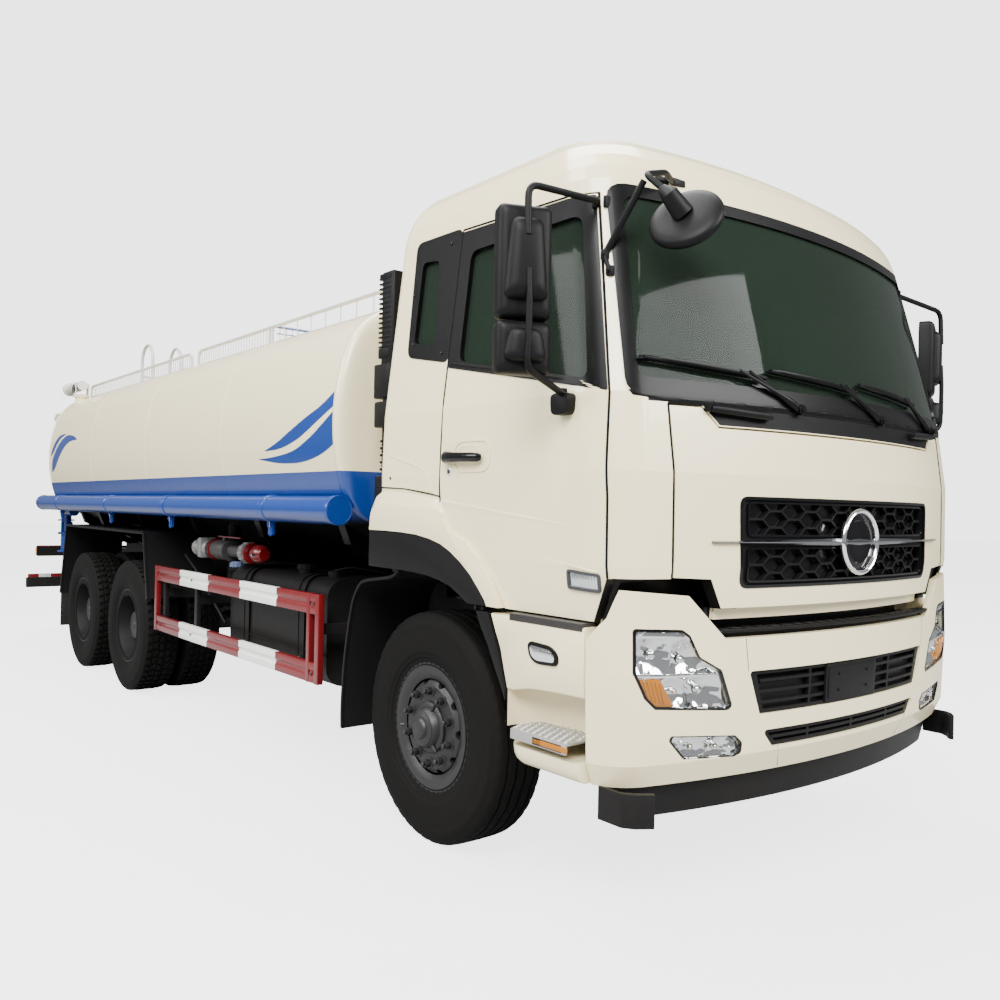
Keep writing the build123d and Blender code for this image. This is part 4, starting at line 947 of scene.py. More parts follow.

# %% [markdown]
# Each wheel is held by ten studs. The nut, its washer and the end of the stud are one small item, modelled
# once at the top of the wheel and set around the axle by the same tree. The front hub ends in a stepped cap.
# A turned bowl closes the front disc to its rim, and a black groove draws the dark line inside the rim's edge
# as painted shade; a black ring does the same on the rear wheels.

# %% Wheel nuts and hub caps
RIM_BOWL = [(107, 221), (112, 228), (117, 240), (122.6, 250), (124, 268), (124.5, 283), (122.4, 284),
            (112, 248), (104, 224)]
# Painted shade: a black groove at the front rim's edge and a black ring at the rear rims' edge.
RIM_GROOVE = [(122.5, 284), (124.0, 284), (123.5, 290), (122.5, 290)]
DARK_RIM = [(122.4, 249), (123.4, 249), (123.8, 289), (122.4, 289)]
STUD_CIRCLE = 167.5
STUD_COUNT = 10
FRONT_DISC = 117
REAR_DISC = -152
FRONT_HUB = [(112, 118), (128, 118), (134, 112), (136, 96), (158, 88), (166, 80), (168, 52), (186, 46),
             (190, 40),
             (190, 0.5)]
REAR_HUB = [(52, 112), (64, 108), (68, 96), (70, 30), (74, 26), (75, 0.5)]


def stud_item(sign, base):
    """Washer, nut and stud end at the top of the stud circle, facing outwards along sign."""
    item = Shape("rim_paint")
    item.turned([(0, 27), (sign * 4, 27), (sign * 5, 25)], (base, 0, STUD_CIRCLE), steps=18)
    item.hex_nut((base + sign * 5, 0, STUD_CIRCLE), "x", 33, sign * 26)
    item.turned([(sign * 30, 12), (sign * 44, 12), (sign * 46, 10)], (base, 0, STUD_CIRCLE), steps=12)
    return item_mesh(item)


def wheel_nuts(name, body, sign, disc, centre):
    """All nuts of one wheel, with their foot on its disc."""
    nuts = repeated(AROUND_AXLE, stud_item(sign, sign * disc), "rim_paint", Count=STUD_COUNT,
                    Centre=at(*centre))
    joined(name, [nuts], body)


def outwards(profile, sign):
    return [(sign * x, radius) for x, radius in profile]


for side, sign in SIDES:
    face = sign * FRONT_WHEEL_X
    centre = (face, 0, WHEEL_CENTRE_Z)
    wheel_nuts(f"front_wheel_nuts_{side}", f"front_{side}_wheel", sign, FRONT_DISC, centre)
    hub = Shape("rim_paint")
    hub.turned(outwards(RIM_BOWL, sign), centre, "x", 96, closed=True)
    # Painted shade: the groove is black for the shade inside the rim's edge.
    hub.use("gap_black").turned(outwards(RIM_GROOVE, sign), centre, "x", 96, closed=True)
    hub.use("rim_paint").turned(outwards(FRONT_HUB, sign), centre, steps=48)
    for index in range(3):
        turn = Matrix.Rotation(math.radians(120 * index + 25), 4, "X")
        low, high = turn @ Vector((sign * 150, 0, 60)), turn @ Vector((sign * 134, 0, 122))
        hub.rod(Vector(centre) + low, Vector(centre) + high, 8, sides=10)
    valve = [(face + sign * x, y, WHEEL_CENTRE_Z + z)
             for x, y, z in ((60, 222, -30), (110, 232, -32), (128, 244, -34))]
    hub.use("iron").tube(valve, 5, 10, sides=8)
    hub.done(f"front_hub_cap_{side}", f"front_{side}_wheel", "rim_paint")
    for place, axle_y in REAR_AXLE_YS.items():
        centre, body = (sign * OUTER_TWIN_X, axle_y, WHEEL_CENTRE_Z), f"{place}_{side}_wheels"
        wheel_nuts(f"{place}_wheel_nuts_{side}", body, sign, REAR_DISC, centre)
        cap = Shape("rim_paint")
        cap.turned(outwards(REAR_HUB, sign), centre)
        # Painted shade: a black ring for the shade inside the rim's edge.
        cap.use("gap_black").turned(outwards(DARK_RIM, sign), centre, "x", 96, closed=True)
        cap.done(f"{place}_hub_cap_{side}", body, "rim_paint")
print("studs per wheel:", STUD_COUNT)

# %% [markdown]
# Everything mounted on the cab has to follow its skin, which is bowed in front, rounded at the corners and
# leans in towards the roof. The same section rows that shaped the cab are used here to bend flat pieces onto
# it: a piece is drawn flat, with its outside towards minus, and is then laid on the skin.

# %% The cab's skin
CAB_ROWS = [(1150, 1216, -1452, 200), (1350, 1240, -1472, 205), (1700, 1246, -1470, 210),
            (1990, 1236, -1430, 215),
            (2840, 1138, -1198, 215), (2900, 1122, -1176, 220), (2960, 1096, -1138, 230),
            (3020, 1058, -1080, 240)]
BUMPER_ROWS = [(555, 1212, -1428, 200), (640, 1236, -1466, 205), (960, 1246, -1478, 205),
               (1290, 1246, -1468, 205)]
BOW_RADIUS = 3800


def section_at(rows, z):
    """Half width, front of the centre line and corner radius at a height."""
    z = min(max(z, rows[0][0]), rows[-1][0])
    for low, high in zip(rows, rows[1:]):
        if z <= high[0]:
            t = (z - low[0]) / (high[0] - low[0])
            return [a + (b - a) * t for a, b in zip(low[1:], high[1:])]


def corner_at(rows, z):
    """Half width, front, and the corner arc's radius and centre at a height."""
    half, front, corner = section_at(rows, z)
    centre_x = half - corner
    centre_y = front + BOW_RADIUS - math.sqrt((BOW_RADIUS - corner) ** 2 - centre_x ** 2)
    return half, front, corner, centre_x, centre_y


def front_skin(rows):
    """A rule that lays a flat front piece on the skin; its y is the depth behind the skin."""
    def place(x, y, z):
        _, front, corner, centre_x, centre_y = corner_at(rows, z)
        if abs(x) <= BOW_RADIUS * centre_x / (BOW_RADIUS - corner):
            middle_x, middle_y, radius = 0.0, front + BOW_RADIUS, BOW_RADIUS
        else:
            middle_x, middle_y, radius = math.copysign(centre_x, x), centre_y, corner
        across = min(max((x - middle_x) / radius, -1.0), 1.0)
        ahead = math.sqrt(1 - across ** 2)
        return Vector((middle_x + across * (radius - y), middle_y - ahead * (radius - y), z))
    return place


def side_skin(rows):
    """The same for the right side; its x is the depth behind the skin."""
    def place(x, y, z):
        half, _, corner, centre_x, centre_y = corner_at(rows, z)
        if y >= centre_y:
            return Vector((-half + x, y, z))
        ahead = min((centre_y - y) / corner, 1.0)
        across = math.sqrt(1 - ahead ** 2)
        return Vector((-centre_x - across * (corner - x), centre_y - ahead * (corner - x), z))
    return place


CAB_FRONT = front_skin(CAB_ROWS)
CAB_SIDE = side_skin(CAB_ROWS)
BUMPER_FRONT = front_skin(BUMPER_ROWS)


def on_skin(shape, skin, spacing=60):
    """Cut a flat piece finely enough along its length, then lay it on a skin."""
    shape.cut_across("y" if skin is CAB_SIDE else "x", spacing)
    return shape.bend_onto(skin)


def fine_outline(points, radius, parts):
    """A rounded outline whose straight runs are also divided."""
    count = 5
    rounded = rounded_outline(points, radius, count - 1)
    result = []
    for corner in range(len(points)):
        group = rounded[corner * count:(corner + 1) * count]
        start, end = Vector(group[-1]), Vector(rounded[((corner + 1) * count) % len(rounded)])
        result += group
        result += [tuple(start.lerp(end, k / parts)) for k in range(1, parts)]
    return result


def frame_on_skin(shape, skin, outer, inner, radii, heights, parts=24):
    """A flat frame between two outlines: flush outside, proud on its face and deep at its inner edge."""
    proud, deep = heights
    loops = []
    outside, inside = fine_outline(outer, radii[0], parts), fine_outline(inner, radii[1], parts)
    for share, depth in ((0, 0.5), (0, -proud), (0.25, -proud), (0.5, -proud), (0.75, -proud), (1, -proud),
                         (1, deep)):
        loop = [(a + (c - a) * share, b + (d - b) * share) for (a, b), (c, d) in zip(outside, inside)]
        places = [(depth, a, b) if skin is CAB_SIDE else (a, depth, b) for a, b in loop]
        loops.append([tuple(skin(*place)) for place in places])
    return shape.loft(loops, cap=False)


def drawn_in(outline, amount):
    """An outline pulled towards its middle."""
    x = sum(p[0] for p in outline) / len(outline)
    z = sum(p[1] for p in outline) / len(outline)
    reach = max(math.hypot(p[0] - x, p[1] - z) for p in outline)
    return [(x + (px - x) * (1 - amount / reach), z + (pz - z) * (1 - amount / reach)) for px, pz in outline]


def flat_piece(shape, outline, near, far, skin=BUMPER_FRONT, edge=1.0, spacing=40, radius=8):
    """A flat panel with rounded corners laid on a skin, added to a shape."""
    panel = Shape(shape.finishes[shape.paint])
    panel.prism(rounded_outline(outline, radius), "x" if skin is CAB_SIDE else "y", near, far, edge)
    return take_over(shape, on_skin(panel, skin, spacing))


print("skin at the sill, lamp line and roof:", [round(CAB_FRONT(0, 0, z).y) for z in (1150, 1990, 2840)])

# %% [markdown]
# The windscreen is glued in behind a wide black band, which hides the glue and lets the glass run wider than
# it is. Below it the cowl is black from pillar to pillar. Both are thin bent panels on the cab's skin.

# %% Windscreen surround and cowl
surround = Shape("trim_black")
frame_on_skin(surround, CAB_FRONT, [(-1158, 1978), (1158, 1978), (1076, 2818), (-1076, 2818)],
              [(-1110, 2046), (1110, 2046), (1032, 2768), (-1032, 2768)], (64, 54), (3, 9), 40)
surround.done("windscreen_surround", "cab")

cover = Shape("trim_black")
cover.prism([(-1150, 1996), (-1138, 1976), (-1020, 1962), (1020, 1962), (1138, 1976), (1150, 1996)], "y",
            -2.5, 6, 1.0)
on_skin(cover, CAB_FRONT, 40)
for x in range(-900, 901, 150):
    slot = [(x - 55, 1968), (x + 55, 1968), (x + 55, 1976), (x - 55, 1976)]
    flat_piece(cover, slot, -4.5, 0, CAB_FRONT, edge=0.8, spacing=60, radius=3)
cover.done("cowl_cover", "cab")

grips = Shape("black_plastic")
start, end = CAB_FRONT(-835, -26, 1944), CAB_FRONT(-540, -26, 1930)
grips.sweep([start.lerp(end, share) for share in (0, 0.1, 0.5, 0.9, 1)], [11, 15, 15, 15, 11], 14, 0.8)
for foot, left, right_end in ((start, -8, 20), (end, -24, 6)):
    grips.box((foot.x + left, foot.x + right_end), (foot.y, foot.y + 34), (foot.z - 12, foot.z + 10), 3)
grips.both_sides()
grips.done("cowl_grips", "cab")

# %% [markdown]
# A wiper is an arm on a splined pivot, a spring box, and a long blade with its rubber against the glass. The
# three here park low, one beside the other, all pointing to the truck's right.

# %% Wipers
WIPER_PIVOTS = (-365, 224, 813)
wipers = Shape("trim_black")
for pivot in WIPER_PIVOTS:
    base = CAB_FRONT(pivot, -18, 1972)
    elbow = CAB_FRONT(pivot - 250, -40, 2098)
    tip = CAB_FRONT(pivot - 730, -26, 2122)
    heel = CAB_FRONT(pivot - 165, -30, 2086)
    wipers.rod(base + Vector((0, 26, 0)), base + Vector((0, -14, 0)), 22, 18, 3)
    wipers.rod(base + Vector((0, -12, 0)), base + Vector((0, -20, 0)), 13, 12, 2)
    arm = [base.lerp(elbow, share) for share in (0, 0.2, 0.32, 0.36)] + [elbow.lerp(tip, 0.12)]
    wipers.sweep(arm, [17, 16, 13, 8, 6], 10, 0.55)
    path = [heel.lerp(tip, k / 8) for k in range(9)]
    for index, point in enumerate(path):
        point.y = CAB_FRONT(point.x, -24 - 6 * math.sin(math.pi * index / 8), point.z).y
    wipers.sweep(path, [4, 7, 9, 10, 11, 10, 9, 7, 4], 8, 0.6)
    rubber = [CAB_FRONT(p.x, -8, p.z - 9) for p in path]
    wipers.sweep(rubber, [5] * 9, 6, 2.2)
    for index in (1, 3, 5, 7):
        wipers.rod(path[index], rubber[index], 6, 8, 1)
wipers.done("wiper_details", "cab")

# %% [markdown]
# The kerb mirror hangs in front of the right corner, so the driver can see the ground beside the cab. It is a
# shallow dish with a rounded back, a ribbed boss and two stays. Its glass looks down, away from the camera.

# %% Kerb mirror
DISH_CENTRE = Vector((-985, -1352, 2622))
DISH_AXIS = Vector((-0.80, -0.33, 0.50)).normalized()
DISH_ROWS = [(-22, 118), (-22, 130), (-14, 138), (-2, 140), (8, 137), (17, 126), (23, 104), (26, 70),
             (27, 30), (27, 0.5)]
dish = Shape("black_plastic")
dish.turned(DISH_ROWS, (0, 0, 0), "z", 56)
dish.use("mirror_glass").turned([(-23, 116), (-24, 114), (-22, 60), (-21.5, 0.5)], (0, 0, 0), "z", 48)
tilt = Vector((0, 0, 1)).rotation_difference(DISH_AXIS).to_matrix()
for vertex in dish.mesh.verts:
    vertex.co = DISH_CENTRE + tilt @ vertex.co
dish.use("black_plastic")
boss = DISH_CENTRE + DISH_AXIS * 24 + Vector((-58, 22, 62))
elbow = Vector((-1085, -1240, 2790))
dish.sweep([DISH_CENTRE + DISH_AXIS * 16 + Vector((-6, 2, 4)), boss, boss + (elbow - boss) * 0.3],
           [44, 36, 18], 14, 0.8)
dish.tube([boss, elbow, (-920, -1190, 2850), (-760, -1094, 2868)], 12, 34, 12)
dish.tube([elbow + Vector((0, 4, -22)), (-1122, -1072, 2516)], 13, 0, 12)
for place in ((-760, 2866), (-840, 2862)):
    foot = CAB_FRONT(place[0], -6, place[1])
    dish.box((foot.x - 34, foot.x + 34), (foot.y - 8, foot.y + 10), (foot.z - 14, foot.z + 14), 5)
for y, z in ((-1078, 2516), (-1104, 2452)):
    foot = CAB_SIDE(-5, y, z)
    dish.box((foot.x - 9, foot.x + 14), (foot.y - 15, foot.y + 15), (foot.z - 20, foot.z + 20), 6)
    dish.hex_nut((foot.x - 9, foot.y, foot.z), "x", 13, -7, 1)
upper, lower = CAB_SIDE(-8, -1078, 2516), CAB_SIDE(-8, -1104, 2452)
dish.tube([upper, lower], 9, 0, 10)
dish.done("kerb_mirror", "cab", "black_plastic", ["front_mirror"])

# %% [markdown]
# Behind the doors the cab wears a black panel with a small fixed pane let into it, so that doors and rear
# corner read as one dark band. It is a frame on the cab's side, with small screws in its corners.

# %% Rear corner panels
PANE = [(112, 2324), (-70, 2292), (-24, 2700), (112, 2714)]
PANEL = [(158, 2262), (-189, 2200), (-189, 2816), (186, 2822)]
SCREWS = ((120, 2320), (-130, 2250), (-110, 2760), (160, 2560))
corner = Shape("trim_black")
frame_on_skin(corner, CAB_SIDE, PANEL, PANE, (46, 30), (3, 34), 4)
for y, z in SCREWS:
    corner.use("gloss_black").turned([(2, 9), (-3, 9), (-5, 6), (-5, 0.5)], CAB_SIDE(-3, y, z), "x", 14)
corner.done("corner_panel_right", "cab")
left_corner = Shape("trim_black")
frame_on_skin(left_corner, CAB_SIDE, PANEL, PANE, (46, 30), (3, 34), 4)
left_corner.mirrored().done("corner_panel_left", "cab")

# %% [markdown]
# Each door carries its own dark window frame, a rubber strip that wipes the glass, a bar handle over a
# pressed oval, a keyhole, a raised crease and a repeater lamp low in front. The pieces ride on the door, so
# they swing with it. The left door is the mirror image of the right one.

# %% Door pieces
DOOR_WINDOW = [(-1104, 2040), (-276, 2196), (-276, 2690), (-972, 2688)]
DOOR_FRAME = [(-1184, 1992), (-196, 2176), (-196, 2794), (-1006, 2768)]


def door_frame(side):
    """The dark window frame and the rubber strip along the sill."""
    frame_piece = Shape("trim_black")
    frame_on_skin(frame_piece, CAB_SIDE, DOOR_FRAME, DOOR_WINDOW, (8, 44), (3, 46), 14)
    frame_piece.use("rubber")
    low = [CAB_SIDE(-4, y, z) for y, z in ((-1150, 2016), (-930, 2058), (-600, 2122), (-215, 2192))]
    frame_piece.sweep(low, [6] * 4, 8, 0.6)
    return finish_side(frame_piece, f"door_frame_{side}", f"{side}_door", side)


def door_handle(side):
    """Oval pressing, black bar with its thumb end, and the lock."""
    handle = Shape("cab_paint")
    outer = [(-292, 1706), (-292, 1848), (-556, 1846), (-556, 1706)]
    oval = [(-300, 1716), (-300, 1838), (-545, 1836), (-548, 1716)]
    frame_on_skin(handle, CAB_SIDE, outer, oval, (70, 60), (3.5, 1), 6)
    bowl = [(-318, 1728), (-318, 1826), (-470, 1826), (-470, 1728)]
    floor_line = [(-328, 1738), (-328, 1816), (-460, 1816), (-460, 1738)]
    frame_on_skin(handle, CAB_SIDE, bowl, floor_line, (48, 38), (1.5, 0.6), 4)
    handle.use("gloss_black")
    bar = [CAB_SIDE(*place) for place in ((-14, -236, 1774), (-26, -262, 1774), (-30, -330, 1772),
                                          (-30, -440, 1769), (-24, -494, 1767), (-12, -504, 1767))]
    handle.sweep(bar, [22, 27, 21, 20, 19, 12], 16, 0.62)
    handle.use("chrome")
    lock = CAB_SIDE(0, -262, 1712)
    handle.turned([(1, 15), (-3, 15), (-4, 12), (-4, 0.5)], lock, "x", 20)
    handle.use("gloss_black").box((lock.x - 5.5, lock.x - 3), (lock.y - 2, lock.y + 2),
                                  (lock.z - 8, lock.z + 8), 0.6)
    return finish_side(handle, f"door_handle_{side}", f"{side}_door", side)


def door_pressings(side):
    """Two creases: one fades out towards the front of the door, a short low one fades towards the rear."""
    crease = Shape("cab_paint")
    rings = []
    for t in (k / 12 for k in range(13)):
        tall = 34 * (1 - t) + 4
        section = ((0.6, 5), (-4.2 * (1 - t) - 0.2, 0), (-3.4 * (1 - t) - 0.2, -tall * 0.3), (0.6, -tall),
                   (8, -tall),
                   (8, 5))
        rings.append([tuple(CAB_SIDE(depth, -212 - 940 * t, 1586 - 100 * t + height))
                      for depth, height in section])
    crease.loft(rings)
    rings = []
    for t in (k / 8 for k in range(9)):
        section = ((0.6, 4), (-3.4 * t - 0.2, 0), (0.6, -18), (8, -18), (8, 4))
        rings.append([tuple(CAB_SIDE(depth, -880 - 300 * t, 1372 - 40 * t + height))
                      for depth, height in section])
    crease.loft(rings)
    return finish_side(crease, f"door_crease_{side}", f"{side}_door", side)


def door_repeater(side):
    """Clear repeater lamp in a grey frame: bright back, upright ribs and lens."""
    lamp = Shape("trim_plastic")
    outline = [(-1030, 1262), (-1030, 1336), (-1188, 1326), (-1188, 1256)]
    inside = [(-1040, 1272), (-1040, 1326), (-1178, 1316), (-1178, 1266)]
    frame_on_skin(lamp, CAB_SIDE, outline, inside, (14, 8), (9, -3), 6)
    lamp.use("chrome")
    mirror = Shape("chrome")
    mirror.prism([(-1036, 1268), (-1036, 1330), (-1182, 1320), (-1182, 1262)], "x", -2.5, 2, 0.5)
    on_skin(mirror, CAB_SIDE, 20)
    finish_side(mirror, f"repeater_mirror_{side}", f"{side}_door", side)
    finish_side(lamp, f"repeater_frame_{side}", f"{side}_door", side)
    lens = Shape("lamp_glass")
    lens.prism([(-1038, 1270), (-1038, 1328), (-1180, 1318), (-1180, 1264)], "x", -11, -7, 1.5)
    on_skin(lens, CAB_SIDE, 30)
    finish_side(lens, f"repeater_lens_{side}", f"{side}_door", side)
    ribs = Shape("chrome")
    for y in range(-1172, -1040, 12):
        ribs.prism([(y, 1270), (y, 1322), (y - 4, 1322), (y - 4, 1270)], "x", -6, -2, 0.8)
    on_skin(ribs, CAB_SIDE, 60)
    return finish_side(ribs, f"repeater_ribs_{side}", f"{side}_door", side)


for side, _ in SIDES:
    for build in (door_frame, door_handle, door_pressings, door_repeater):
        build(side)
print("door pieces on both sides")

# %% [markdown]
# A door mirror is a rounded housing with a bulge where its tube passes, and the glass set back in its rear.
# The housing is a rounded box whose front swells around the tube. Both heads are turned towards the driver.

# %% Door mirrors
MIRROR_TURN = math.radians(-24)
HEAD_X, HEAD_Y = -1470, -1018
# Each tube's path, its radius and the radius of its bends, from the roof down to the door.
MIRROR_TUBES = (
    ([(-1120, -1030, 2735), (-1500, -1072, 2700), (-1500, -1078, 2520)], 13, 52),
    ([(-1496, -1080, 2400), (-1496, -1086, 2300), (-1496, -1086, 2130)], 12, 20),
    ([(-1496, -1084, 2140), (-1500, -1080, 2050), (-1300, -1030, 1992), (-1252, -1010, 1980)], 13, 60),
)


def mirror_head(shape, low, high, bulge):
    """Housing between two heights, with a bulge over the tube between the heights of bulge."""
    middle = (low + high) / 2
    half = (high - low) / 2
    made = Shape("black_plastic")
    outline = rounded_outline([(-100, -half), (100, -half), (100, half), (-100, half)], 26, 5)
    rings = []
    for y, grow in ((40, -9), (43, -5), (40, 0), (-8, 0), (-24, -5), (-34, -16), (-38, -30)):
        factor_x, factor_z = (100 + grow) / 100, (half + grow) / half
        rings.append([(px * factor_x, y, pz * factor_z) for px, pz in outline])
    made.loft(rings)
    foot, top = (height - middle for height in bulge)
    swell = rounded_outline([(-84, foot), (84, foot), (60, top), (-60, top)], 34, 5)
    centre_z = (foot + top) / 2
    rings = []
    for y, factor in ((-30, 1.0), (-46, 0.96), (-60, 0.86), (-69, 0.68), (-73, 0.42)):
        rings.append([(px * factor, y, centre_z + (pz - centre_z) * (0.4 + 0.6 * factor))
                      for px, pz in swell])
    made.loft(rings)
    made.use("mirror_glass")
    glass = rounded_outline([(-88, -half + 12), (88, -half + 12), (88, half - 12), (-88, half - 12)], 20, 4)
    made.prism(glass, "y", 42, 45, 0.8)
    turn = Matrix.Rotation(MIRROR_TURN, 3, "Z")
    for vertex in made.mesh.verts:
        vertex.co = turn @ vertex.co + Vector((HEAD_X, HEAD_Y, middle))
    data = bpy.data.meshes.new("head")
    made.mesh.to_mesh(data)
    made.mesh.free()
    first = len(shape.mesh.faces)
    shape.mesh.from_mesh(data)
    shape.mesh.faces.ensure_lookup_table()
    glass_slot = shape.use("mirror_glass").paint
    for face in shape.mesh.faces[first:]:
        face.material_index = glass_slot if face.material_index == 1 else 0
    shape.use("black_plastic")


for side, _ in SIDES:
    mirrors = Shape("black_plastic")
    mirror_head(mirrors, 2232, 2640, (2292, 2590))
    mirror_head(mirrors, 2035, 2225, (2075, 2196))
    for path, radius, bend in MIRROR_TUBES:
        mirrors.tube(path, radius, bend, 14)
    for y in (-1046, -1014):
        clamp = CAB_SIDE(-8, y, 2735)
        mirrors.box((clamp.x - 16, clamp.x + 12), (y - 8, y + 8), (2712, 2758), 5)
    foot = rounded_outline([(-1052, 1908), (-962, 1908), (-956, 1990), (-1058, 1990)], 26, 4)
    mirrors.prism(foot, "x", -1282, -1232, 8)
    mirrors.turned([(0, 20), (22, 18)], (-1262, -1008, 1985), "z", 18)
    finish_side(mirrors, f"door_mirrors_{side}", f"{side}_door", side, "black_plastic", [f"mirrors_{side}"])
print("mirror heads turned by", round(math.degrees(MIRROR_TURN)), "degrees")

# %% [markdown]
# The front lid holds a glossy black tray. The honeycomb is already there, but it needs darkness behind it, or
# the painted bulkhead would shine through, so a black sheet of painted shade is laid behind it. A plain
# chrome ring stands where trucks carry their maker's sign, and stays plain.

# %% Grille tray, bar and ring
GRILLE_EDGE = [(-700, 1270), (700, 1270), (708, 1620), (-708, 1620)]
# Painted shade: a black sheet behind the honeycomb, for the dark cavity behind its cells.
tray = Shape("gloss_black")
tray.prism(GRILLE_EDGE, "y", 31, 34.5, 0)
on_skin(tray, CAB_FRONT)
tray.done("grille_backing", "lid")
rim = Shape("gloss_black")
RIM_INNER = [(-688, 1282), (688, 1282), (696, 1608), (-696, 1608)]
frame_on_skin(rim, CAB_FRONT, GRILLE_EDGE, RIM_INNER, (40, 32), (2.5, 12), 30)


def upright(half, low, high):
    """A rectangle about the centre line."""
    return [(-half, low), (half, low), (half, high), (-half, high)]


OPENING_HALF, LIP = 664, 8
for low, high in ((1290, 1426), (1466, 1602)):
    inner = upright(OPENING_HALF - LIP, low + LIP, high - LIP)
    frame_on_skin(rim, CAB_FRONT, upright(OPENING_HALF, low, high), inner, (26, 20), (-4, 16), 30)
rim.done("grille_rim", "lid")

RING_CENTRE = (0, -1480, 1446)
RING_RADIUS = 129
BAR_STATIONS, BAR_HALF = 49, 836
bar = Shape("grey_chrome")
rings = []
for k in range(BAR_STATIONS):
    x = BAR_HALF * (2 * k / (BAR_STATIONS - 1) - 1)
    thick = 5 + 12 * max(0.0, 1 - abs(x) / 700)
    section = ((2, -thick), (-8, -thick), (-15, -thick * 0.4), (-16, thick * 0.2), (-8, thick), (2, thick))
    rings.append([tuple(CAB_FRONT(x, depth, RING_CENTRE[2] + height)) for depth, height in section])
bar.loft(rings)
turns = [2 * math.pi * k / 10 for k in range(10)]
ring_section = [(13.5 * math.cos(a) - 5, RING_RADIUS + 11 * math.sin(a)) for a in turns]
bar.use("chrome").turned(ring_section, RING_CENTRE, "y", 72, closed=True)
bar.use("gloss_black").turned([(8, 126), (2, 124), (0, 118), (0, 0.5)], RING_CENTRE, "y", 56)
bar.turned([(0, 92), (-4, 88), (-3, 40), (-2, 0.5)], RING_CENTRE, "y", 56)
bar.done("bar_and_ring", "lid", "chrome", ["grille_bar"])
print("plain ring of radius", RING_RADIUS, "mm on a bar", 2 * BAR_HALF, "mm long")

# %% [markdown]
# The gaps between door, cab and lid read as crisp dark lines. Real gaps only look dark when nothing light
# stands behind them, so a thin black strip of painted shade is laid in each, a little below the paint.

# %% Cab seams
DOOR_GAPS = ([(-1211, 1312), (-1211, 1600), (-1191, 1985), (-1012, 2776), (-192, 2805)],
             [(-189.5, 2800), (-189.5, 1640), (-202, 1530)])
LID_GAPS = ((-1005, 1314, -1005, 1952), (-1005, 1956, -400, 1956), (-400, 1956, 0, 1956))
# Painted shade: black strips along the door and lid gaps.
cab_seams = Shape("gap_black")
for line in DOOR_GAPS:
    path = []
    for (y0, z0), (y1, z1) in zip(line, line[1:]):
        path += [CAB_SIDE(1.0, y0 + (y1 - y0) * k / 6, z0 + (z1 - z0) * k / 6) for k in range(6)]
    cab_seams.sweep(path + [CAB_SIDE(1.0, *line[-1])], [5.0] * (len(path) + 1), 6)
for x0, z0, x1, z1 in LID_GAPS:
    path = [CAB_FRONT(x0 + (x1 - x0) * k / 8, 1.0, z0 + (z1 - z0) * k / 8) for k in range(9)]
    cab_seams.sweep(path, [4.6] * 9, 6)
cab_seams.both_sides()
cab_seams.done("cab_seams", "cab")
# %% [markdown]
# A headlamp is a room behind a clear cover: a dark seal around it, a bright insert and an amber corner for
# the indicator. The insert is one pressing, so its front is cut into a fine grid and pushed back into bowls
# with a ripple around each. Chrome only looks like chrome when it has shapes to show.

# %% Headlamps
HEADLAMP = [(-1152, 1133), (-960, 1123), (-926, 1101), (-884, 1020), (-787, 968), (-731, 832), (-749, 819),
            (-1067, 845),
            (-1110, 885), (-1152, 975)]
FOG_LAMP = [(-997, 740), (-708, 717), (-673, 687), (-677, 650), (-707, 640), (-939, 652), (-1003, 723)]
# Each bowl: x, z, radius, depth and the number of its ribs.
HEADLAMP_BOWLS = [(-1070, 1036, 92, 34, 11), (-946, 1014, 78, 32, 9), (-866, 898, 88, 36, 12),
                  (-980, 900, 60, 22, 8)]
FOG_BOWLS = [(-900, 690, 62, 18, 14), (-786, 680, 60, 18, 14)]
RIPPLE, HAMMERING = 2.6, 5
lamps = Shape("gloss_black")
frame_on_skin(lamps, BUMPER_FRONT, HEADLAMP, drawn_in(HEADLAMP, 12), (12, 10), (1.5, 12), 6)
frame_on_skin(lamps, BUMPER_FRONT, FOG_LAMP, drawn_in(FOG_LAMP, 9), (10, 8), (1.5, 12), 6)
lamps.use("chrome")


def bowls(shape, outline, centres, near, far, step):
    """A bright insert under a lamp cover, pressed into bowls with a small bulb in each."""
    insert = Shape("chrome")
    insert.prism(outline, "y", near, far, 0)
    insert.cut_across("x", step).cut_across("z", step)
    for vertex in insert.mesh.verts:
        if vertex.co.y < near + 1:
            dips = []
            for x, z, radius, depth, ribs in centres:
                away = Vector((vertex.co.x - x, vertex.co.z - z))
                ripple = RIPPLE * math.sin(ribs * math.atan2(away.y, away.x)) * min(away.length / radius, 1.0)
                dips.append(depth * max(0.0, 1 - (away.length / radius) ** 2) + ripple)
            uneven = math.sin(vertex.co.x / 31) * math.sin(vertex.co.z / 23 + 1)
            vertex.co.y += max(dips) + HAMMERING * uneven
    insert.bend_onto(BUMPER_FRONT)
    take_over(shape, insert)
    for x, z, radius, depth, ribs in centres:
        spot = BUMPER_FRONT(x, near + depth * 0.9, z)
        shape.turned([(2, radius * 0.2), (-10, radius * 0.19), (-16, radius * 0.13), (-18, 0.5)], spot, "y",
                     20)


